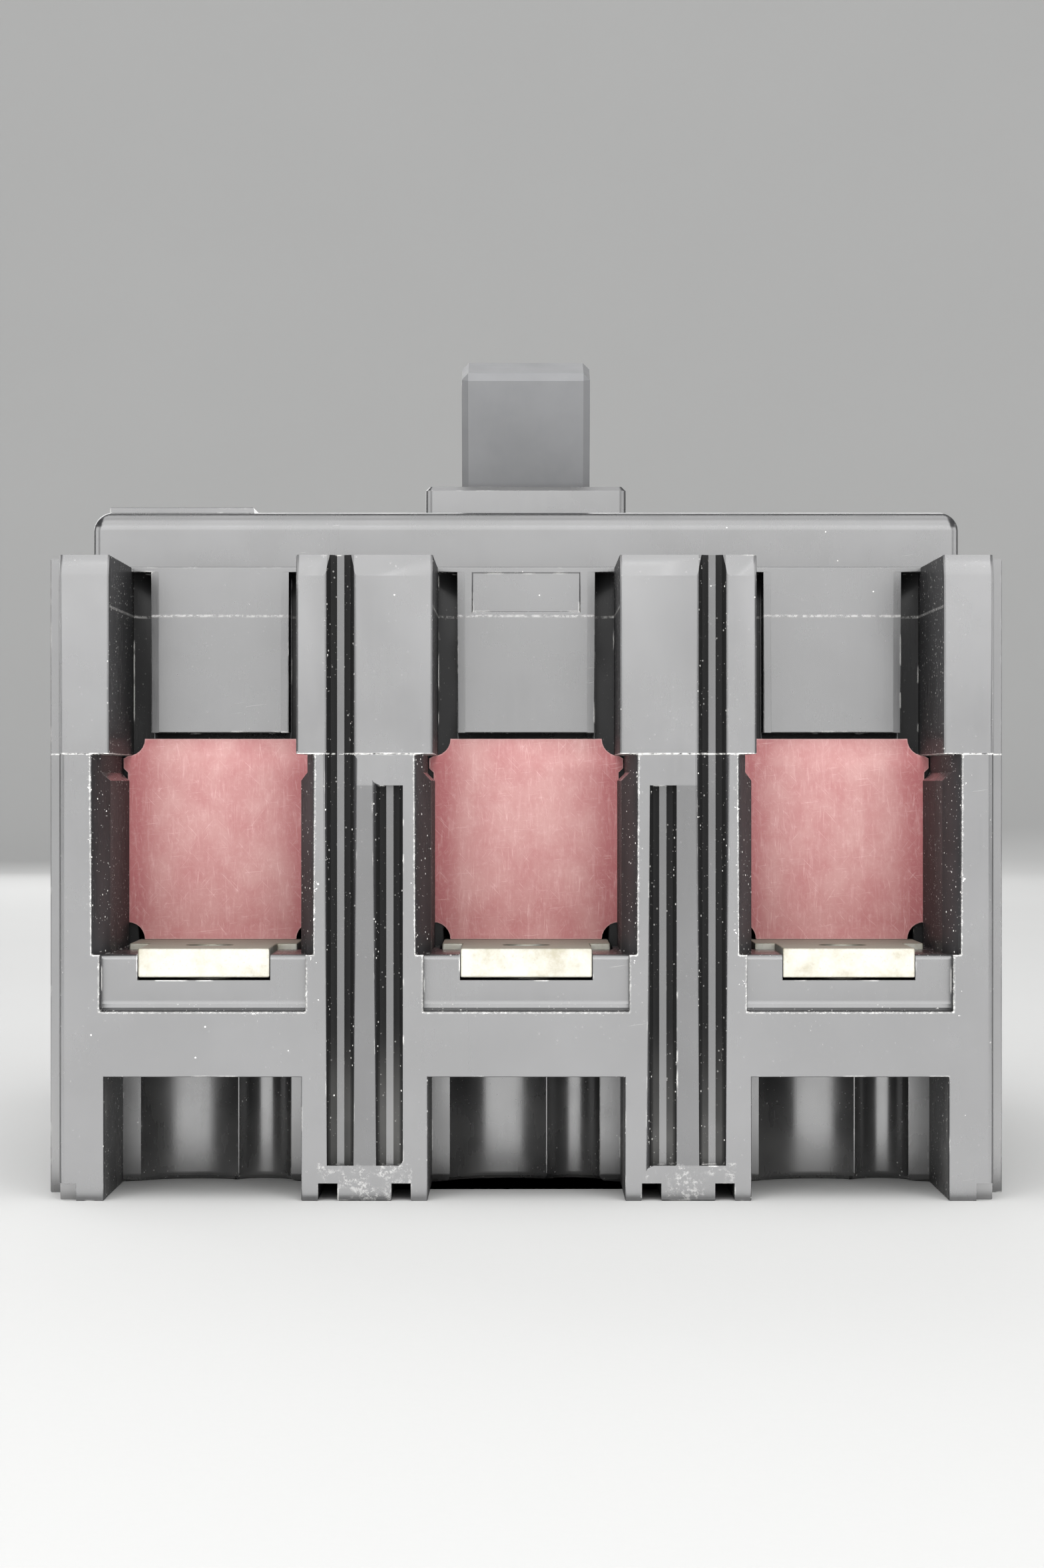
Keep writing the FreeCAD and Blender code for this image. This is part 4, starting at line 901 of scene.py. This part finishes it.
@dataclass
class Housing(SubAssembly):
    """Base and cover, with the channels, feet and eased edges that the solids leave plain."""

    end: float = 76.2 * MM
    side: float = 50.43 * MM
    parting: float = 48.2 * MM
    edge_radius: float = 0.14 * MM
    post_radius: float = 0.42 * MM
    rib_faces: tuple[float, ...] = (13.306 * MM, 16.206 * MM, 18.626 * MM, 21.526 * MM)
    vent_half: float = 10.075 * MM
    boss_half: float = 7.85 * MM
    boss_front: float = 51.8 * MM
    boss_round: float = 0.9 * MM
    boss_rim_drop: float = 0.03 * MM
    channel_back: float = 47.2 * MM
    channel_head: float = 66.7 * MM
    channel_rise: float = 2.4 * MM
    channel_slant: float = 2.0 * MM
    foot_gap_height: float = 1.9 * MM
    foot_gap_back: float = 74.6 * MM
    foot_gap_depth: float = 16.5 * MM
    ledge_front: float = 74.4 * MM
    ledge_height: float = 20.4 * MM
    ledge_radius: float = 1.2 * MM
    window_half: float = 10.66 * MM
    window_back: float = 55.7 * MM
    window_radius: float = 0.9 * MM
    window_wall: float = 49.0 * MM
    least_eased: float = 3.0 * MM
    least_ledge: float = 5.0 * MM
    least_window: float = 0.05 * MM
    least_post_edge: float = 1.5 * MM
    end_slack: float = 1.0 * MM
    upright_share: float = 0.9
    post_turn: float = 25.0
    sharp_turn: float = 70.0
    smooth_angle: float = 21.0
    nodes: ClassVar[dict[str, Slot]] = {"base": Slot.MOULDING, "cover": Slot.MOULDING}

    def build(self) -> None:
        """Work a copy of each moulding and ease its edges."""
        for node, work in (("base", self.work_base), ("cover", self.slant_vent_channels)):
            shape = welded_copy(node)
            work(shape)
            shape.normal_update()
            ease(shape, self.post_edges(shape), self.post_radius, segments=3, limited=False)
            sharp = outer_edges(shape, self.least_eased, self.sharp_turn)
            ease(shape, sharp, self.edge_radius, segments=2, limited=False)
            moulding = finished_copy(shape, node, f"{node}_moulding", "housing", self.smooth_angle)
            Paintshop.paint_piece(moulding, Slot.MOULDING)

    def slant_vent_channels(self, shape: Mesh) -> None:
        """Turn the backs of the channels beside each vent's boss inwards, and take them up to the ledge.

        The rounded sides of the boss become a flat rim.

        Args:
            shape: The cover's mesh.
        """
        inner = self.boss_half - self.boss_round - SAME
        for point in shape.verts:
            off, back = pole_offset(point.co.x), abs(point.co.y)
            at_head = close(point.co.z, self.channel_head) and back < self.boss_front + SAME
            if at_head and inner < off < self.vent_half + SAME:
                point.co.z += self.channel_rise
            if close(off, self.vent_half) and close(back, self.channel_back):
                point.co.y += math.copysign(self.channel_slant, point.co.y)
            from_front = self.boss_front - back
            if inner < off < self.boss_half + SAME and -SAME < from_front < self.boss_round + SAME:
                across = (off - self.boss_half + self.boss_round) / self.boss_round
                point.co.y = math.copysign(self.boss_front - across * self.boss_rim_drop, point.co.y)

    def work_base(self, shape: Mesh) -> None:
        """Deepen the gaps between legs and tabs, and round the corners behind sills and window walls.

        Args:
            shape: The base's mesh.
        """
        for point in shape.verts:
            in_gap = point.co.z < self.foot_gap_height + SAME and abs(point.co.x) < POLE_PITCH
            if in_gap and close(abs(point.co.y), self.foot_gap_back):
                point.co.y -= math.copysign(self.foot_gap_depth, point.co.y)
        shape.normal_update()
        ease(shape, self.ledge_edges(shape), self.ledge_radius, segments=4, limited=False)
        ease(shape, self.window_edges(shape), self.window_radius, segments=3, limited=False)

    def ledge_edges(self, shape: Mesh) -> list[Edge]:
        """Return the hollow edges behind the sills of the terminal recesses."""
        return [edge for edge in shape.edges
                if edge.is_manifold and not edge.is_convex and edge.calc_length() > self.least_ledge
                and all(close(abs(point.co.y), self.ledge_front) and close(point.co.z, self.ledge_height)
                        for point in edge.verts)]

    def window_edges(self, shape: Mesh) -> list[Edge]:
        """Find the lower edges of the walls behind the windows between the legs.

        Args:
            shape: The mesh.

        Returns:
            The edges.
        """
        def at_foot(point: Point) -> bool:
            """Tell whether a point lies at the foot of a window's back wall."""
            in_wall = self.window_wall < abs(point.co.y) < self.window_back + SAME
            return close(point.co.z, 0.0) and in_wall and pole_offset(point.co.x) < self.window_half

        return [edge for edge in outer_edges(shape, self.least_window)
                if all(at_foot(point) for point in edge.verts)]

    def post_edges(self, shape: Mesh) -> list[Edge]:
        """Find the edges of the posts at both ends, with the mouths of their grooves.

        Args:
            shape: The mesh.

        Returns:
            The edges.
        """
        def upright(edge: Edge) -> bool:
            """Tell whether an edge runs up a post's corner or a groove's mouth."""
            low, high = sorted((point.co for point in edge.verts), key=lambda place: place.z)
            inside = min(abs(low.y), abs(high.y)) < self.end - self.end_slack
            if inside or high.z < low.z + self.upright_share * edge.calc_length():
                return False
            across = abs(low.x)
            at_groove = min(abs(across - face) for face in self.rib_faces) < 2 * SAME
            return at_groove or close(across, self.side) or low.z > self.parting - SAME

        return [edge for edge in outer_edges(shape, self.least_post_edge, self.post_turn) if upright(edge)]


@dataclass
class Fixings(SubAssembly):
    """Cover screws."""

    edge_radius: float = 0.25 * MM
    nodes: ClassVar[dict[str, Slot]] = {"cover_screws": Slot.STEEL}

    def build(self) -> None:
        """Round the edges of the slotted heads."""
        screws = eased_copy("cover_screws", "slotted_cover_screws", "housing", self.edge_radius)
        Paintshop.paint_piece(screws, Slot.STEEL)


@dataclass
class Terminals(SubAssembly):
    """Straps, their screws and the fixed contacts."""

    edge_radius: float = 0.22 * MM
    nodes: ClassVar[dict[str, Slot]] = {
        **dict.fromkeys(numbered("line_terminal", "load_terminal"), Slot.SILVERED),
        **dict.fromkeys(numbered("fixed_contact"), Slot.CONTACT),
        "line_terminal_screws": Slot.STEEL,
        "load_terminal_screws": Slot.STEEL,
    }

    def build(self) -> None:
        """Ease the sheared edges of the straps."""
        for node in numbered("line_terminal", "load_terminal"):
            strap = eased_copy(node, node.replace("terminal", "strap"), "housing", self.edge_radius)
            Paintshop.paint_piece(strap, Slot.SILVERED)


@dataclass
class Baffles(SubAssembly):
    """Fibre plates of the line-end recesses, punched with a round nick at each corner."""

    nick_radius: float = 1.95 * MM
    nick_steps: int = 6
    ear_height: float = 1.1 * MM
    ear_reach: float = 0.5 * MM
    ear_drop: float = 0.3 * MM
    edge_radius: float = 0.06 * MM
    nodes: ClassVar[dict[str, Slot]] = dict.fromkeys(numbered("fibre_baffle"), Slot.FIBRE)

    def build(self) -> None:
        """Punch one plate for each recess."""
        for number, node in enumerate(numbered("fibre_baffle"), start=1):
            plate = self.punch(node, f"punched_baffle_{number}")
            Paintshop.paint_piece(plate, Slot.FIBRE)
            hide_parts(node)

    def outline(self, low: Vector, high: Vector) -> list[tuple[float, float]]:
        """Return the right half of a plate's outline.

        Args:
            low: Lowest corner of the node, centred on X.
            high: Highest corner of the node, centred on X.

        Returns:
            Points of X and Z, from the foot to the top.
        """
        half = high.x - self.ear_reach
        foot, head = [], []
        for step in range(self.nick_steps + 1):
            turn = math.pi / 2 * step / self.nick_steps
            across, along = self.nick_radius * math.cos(turn), self.nick_radius * math.sin(turn)
            foot.append((half - across, low.z + along))
            head.append((half - along, high.z - across))
        ear_top = high.z - self.nick_radius - self.ear_drop
        ear = [(half, ear_top - self.ear_height - self.ear_reach), (high.x, ear_top - self.ear_height),
               (high.x, ear_top)]
        return foot + ear + head

    def punch(self, node: str, name: str) -> Item:
        """Make one plate.

        Args:
            node: The CAD node that gives its size and place.
            name: The plate's name.

        Returns:
            The new object.
        """
        low, high = (Vector(corner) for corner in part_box(node))
        middle = (low.x + high.x) / 2
        right = self.outline(low - Vector((middle, 0, 0)), high - Vector((middle, 0, 0)))
        around = right + [(-x, z) for x, z in reversed(right)]
        shape = bmesh.new()
        face = shape.faces.new([shape.verts.new((middle + x, low.y, z)) for x, z in around])
        grown = bmesh.ops.extrude_face_region(shape, geom=[face])["geom"]
        back = [part for part in grown if isinstance(part, Point)]
        bmesh.ops.translate(shape, verts=back, vec=(0.0, high.y - low.y, 0.0))
        bmesh.ops.recalc_face_normals(shape, faces=shape.faces)
        rim = [edge for edge in shape.edges if abs(edge.verts[0].co.y - edge.verts[1].co.y) < SAME]
        ease(shape, rim, self.edge_radius)
        return new_piece(name, shape, "housing")


@dataclass
class ArcChutes(SubAssembly):
    """Steel plates between fibre sides."""

    nodes: ClassVar[dict[str, Slot]] = {
        **dict.fromkeys(numbered("chute_plates"), Slot.STEEL),
        **dict.fromkeys(numbered("chute_sides"), Slot.FIBRE),
    }


@dataclass
class ContactGear(SubAssembly):
    """Crossbar with its arms, contacts, pins and springs, and the braids that feed the arms."""

    spring_wire: float = 0.5 * MM
    spring_turns: int = 3
    nodes: ClassVar[dict[str, Slot]] = {
        "crossbar": Slot.INNER_MOULDING,
        "arm_pins": Slot.STEEL,
        "contact_springs": Slot.SPRING,
        **dict.fromkeys(numbered("contact_arm", "flexible_shunt"), Slot.COPPER),
        **dict.fromkeys(numbered("moving_contact"), Slot.CONTACT),
    }

    def build(self) -> None:
        """Wind a spring under each contact arm."""
        low, high = (Vector(corner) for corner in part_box("contact_springs"))
        outer = (high.y - low.y) / 2
        shape = wound_wire(outer - self.spring_wire / 2, self.spring_wire, self.spring_turns, high.z - low.z)
        middle = (low.y + high.y) / 2
        stand_copies(shape, [Matrix.Translation((pole * POLE_PITCH, middle, low.z)) for pole in POLES])
        springs = new_piece("wound_contact_springs", shape, "crossbar", WIRE_ANGLE)
        Paintshop.paint_piece(springs, Slot.SPRING)
        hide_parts("contact_springs")

    def dress(self) -> None:
        """Put the finishes on, with a woven one for the braids."""
        super().dress()
        for node in numbered("flexible_shunt"):
            Paintshop.paint(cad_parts[node], Slot.COPPER, Braid(), "copper_braid")


@dataclass
class Handle(SubAssembly):
    """Handle with its yoke and main springs."""

    edge_radius: float = 0.5 * MM
    spring_radius: float = 1.35 * MM
    spring_wire: float = 0.45 * MM
    spring_turns: int = 9
    spring_side: float = 10.15 * MM
    spring_clear: float = 0.15 * MM
    spring_ends: float = 0.5 * MM
    anchor: tuple[float, float] = (-6.99 * MM, 64.86 * MM)
    nodes: ClassVar[dict[str, Slot]] = {
        "handle": Slot.HANDLE, "handle_yoke": Slot.STEEL, "main_springs": Slot.SPRING}

    def build(self) -> None:
        """Round the handle's edges and wind the two main springs."""
        Paintshop.paint_piece(eased_copy("handle", "handle_lever", "handle", self.edge_radius), Slot.HANDLE)
        low, high = (Vector(corner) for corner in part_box("toggle_pin"))
        pin = Vector((0.0, (low.y + high.y) / 2, (low.z + high.z) / 2))
        line = Vector((0.0, *self.anchor)) - pin
        pin_radius = (high.z - low.z) / 2
        start = pin + line.normalized() * (pin_radius + self.spring_clear)
        shape = wound_wire(self.spring_radius, self.spring_wire, self.spring_turns,
                           line.length - pin_radius - self.spring_ends)
        lean = line.to_track_quat("Z", "Y").to_matrix().to_4x4()
        stand_copies(shape, [Matrix.Translation(start + Vector((side * self.spring_side, 0.0, 0.0))) @ lean
                             for side in (-1, 1)])
        springs = new_piece("wound_main_springs", shape, "handle", WIRE_ANGLE)
        Paintshop.paint_piece(springs, Slot.SPRING)
        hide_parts("main_springs")


@dataclass
class Mechanism(SubAssembly):
    """Side plates, pins, cradle and toggle links of the middle pole."""

    nodes: ClassVar[dict[str, Slot]] = dict.fromkeys(
        ("side_plates", "frame_pins", "cradle", "upper_links", "lower_links", "toggle_pin"), Slot.STEEL)


@dataclass
class TripUnit(SubAssembly):
    """Trip bar, latch, button, bimetals, magnets, armatures and calibration screws."""

    nodes: ClassVar[dict[str, Slot]] = {
        "trip_bar": Slot.INNER_MOULDING,
        "latch": Slot.STEEL,
        "trip_button": Slot.BUTTON,
        "calibration_screws": Slot.STEEL,
        **dict.fromkeys(numbered("bimetal"), Slot.BIMETAL),
        **dict.fromkeys(numbered("magnet_yoke", "armature"), Slot.STEEL),
    }


@dataclass(frozen=True)
class SoftBox:
    """A rectangular soft light, whose power is its brightness times its area times a factor."""

    name: str
    centre: Triple
    size: tuple[float, float]
    radiance: float
    aim: Triple = (0.0, 0.0, 0.04)
    power: float = 4.0

    def hang(self) -> None:
        """Add the light, turned to what it aims at."""
        data = bpy.data.lights.new(self.name, "AREA")
        data.shape = "RECTANGLE"
        data.size, data.size_y = self.size
        data.energy = self.power * self.radiance * self.size[0] * self.size[1]
        item = linked(self.name, data)
        item.location = self.centre
        item.rotation_euler = (Vector(self.aim) - Vector(self.centre)).to_track_quat("-Z", "Y").to_euler()
        item.visible_camera = False


@dataclass
class Studio:
    """Floor, lights, surroundings and camera."""

    floor_radius: float = 1.5
    sweep_radius: float = 1.0
    wall_height: float = 1.4
    sweep_steps: int = 16
    round_steps: int = 96
    surroundings: float = 0.12
    tint: Colour = (0.93, 0.96, 1.0)
    lens: float = 89.48
    sensor: float = 36.0
    nearest: float = 0.01
    camera_place: Triple = (-0.47 * MM, -496.2 * MM, 44.94 * MM)
    soft_boxes: tuple[SoftBox, ...] = (
        SoftBox("low_key", (0.0, -1.28, 0.005), (1.6, 0.29), 2.5),
        SoftBox("key", (0.0, -1.24, 0.445), (1.6, 0.62), 4.8),
        SoftBox("foot_card", (0.0, -0.679, 0.0003), (0.7, 1.20), 2.9, (0.0, -0.679, 1.0)),
        SoftBox("front_top", (0.0, -0.84, 1.04), (1.1, 0.95), 4.3),
        SoftBox("top", (0.0, 0.0, 1.34), (1.1, 0.95), 2.7),
        SoftBox("rear", (-0.3, 1.30, 0.60), (1.2, 0.9), 2.0),
        SoftBox("left", (-1.45, -0.20, 0.36), (0.9, 0.7), 3.0),
        SoftBox("right", (1.45, -0.20, 0.36), (0.9, 0.7), 3.0),
        SoftBox("front_left", (-1.16, -0.86, 0.36), (0.85, 0.7), 2.8),
        SoftBox("front_right", (1.16, -0.86, 0.36), (0.85, 0.7), 2.8),
        SoftBox("backdrop", (0.0, 0.9, 1.7), (2.4, 0.5), 4.0, (0.0, 2.6, 0.5)),
    )

    def build(self) -> None:
        """Build the floor, hang the lights and place the camera."""
        self.lay_floor()
        for light in self.soft_boxes:
            light.hang()
        self.light_surroundings()
        self.place_camera()

    def lay_floor(self) -> None:
        """Spin a floor that sweeps up into a low wall all round."""
        shape = bmesh.new()
        profile = [Vector((0.0, 0.0, 0.0)), Vector((self.floor_radius, 0.0, 0.0))]
        for step in range(1, self.sweep_steps + 1):
            turn = math.pi / 2 * step / self.sweep_steps
            profile.append(Vector((self.floor_radius + self.sweep_radius * math.sin(turn), 0.0,
                                   self.sweep_radius * (1 - math.cos(turn)))))
        profile.append(Vector((self.floor_radius + self.sweep_radius, 0.0, self.wall_height)))
        points = [shape.verts.new(point) for point in profile]
        lines = [shape.edges.new(pair) for pair in zip(points, points[1:])]
        bmesh.ops.spin(shape, geom=points + lines, cent=(0, 0, 0), axis=(0, 0, 1), dvec=(0, 0, 0),
                       angle=math.tau, steps=self.round_steps, use_merge=True, use_duplicate=False)
        bmesh.ops.remove_doubles(shape, verts=shape.verts, dist=SAME)
        bmesh.ops.recalc_face_normals(shape, faces=shape.faces)
        floor = smooth_object("studio_floor", shape)
        floor.data.materials.append(Paintshop.material("studio_paper", Paper()))

    def light_surroundings(self) -> None:
        """Give the world an even pale light."""
        world = bpy.data.worlds.new("studio_surroundings")
        world.use_nodes = True
        background = world.node_tree.nodes["Background"]
        background.inputs["Color"].default_value = (*self.tint, 1.0)
        background.inputs["Strength"].default_value = self.surroundings
        bpy.context.scene.world = world
        bpy.context.scene.view_settings.view_transform = "Standard"

    def place_camera(self) -> None:
        """Place the camera level with the parting line, square to the line end."""
        data = bpy.data.cameras.new("line_end_camera")
        data.lens = self.lens
        data.sensor_width = self.sensor
        data.clip_start = self.nearest
        camera = linked("line_end_camera", data)
        camera.location = self.camera_place
        camera.rotation_euler = (math.radians(90.0), 0.0, 0.0)
        bpy.context.scene.camera = camera


def main() -> None:
    """Build and dress every sub-assembly, then the studio."""
    logging.basicConfig(level=logging.INFO, format="%(message)s")
    for part in (Housing(), Fixings(), Terminals(), Baffles(), ArcChutes(), ContactGear(), Handle(),
                 Mechanism(), TripUnit()):
        part.build()
        part.dress()
        LOG.info("%s: %d nodes", type(part).__name__, len(part.nodes))
    Studio().build()


if __name__ == "__main__":
    main()
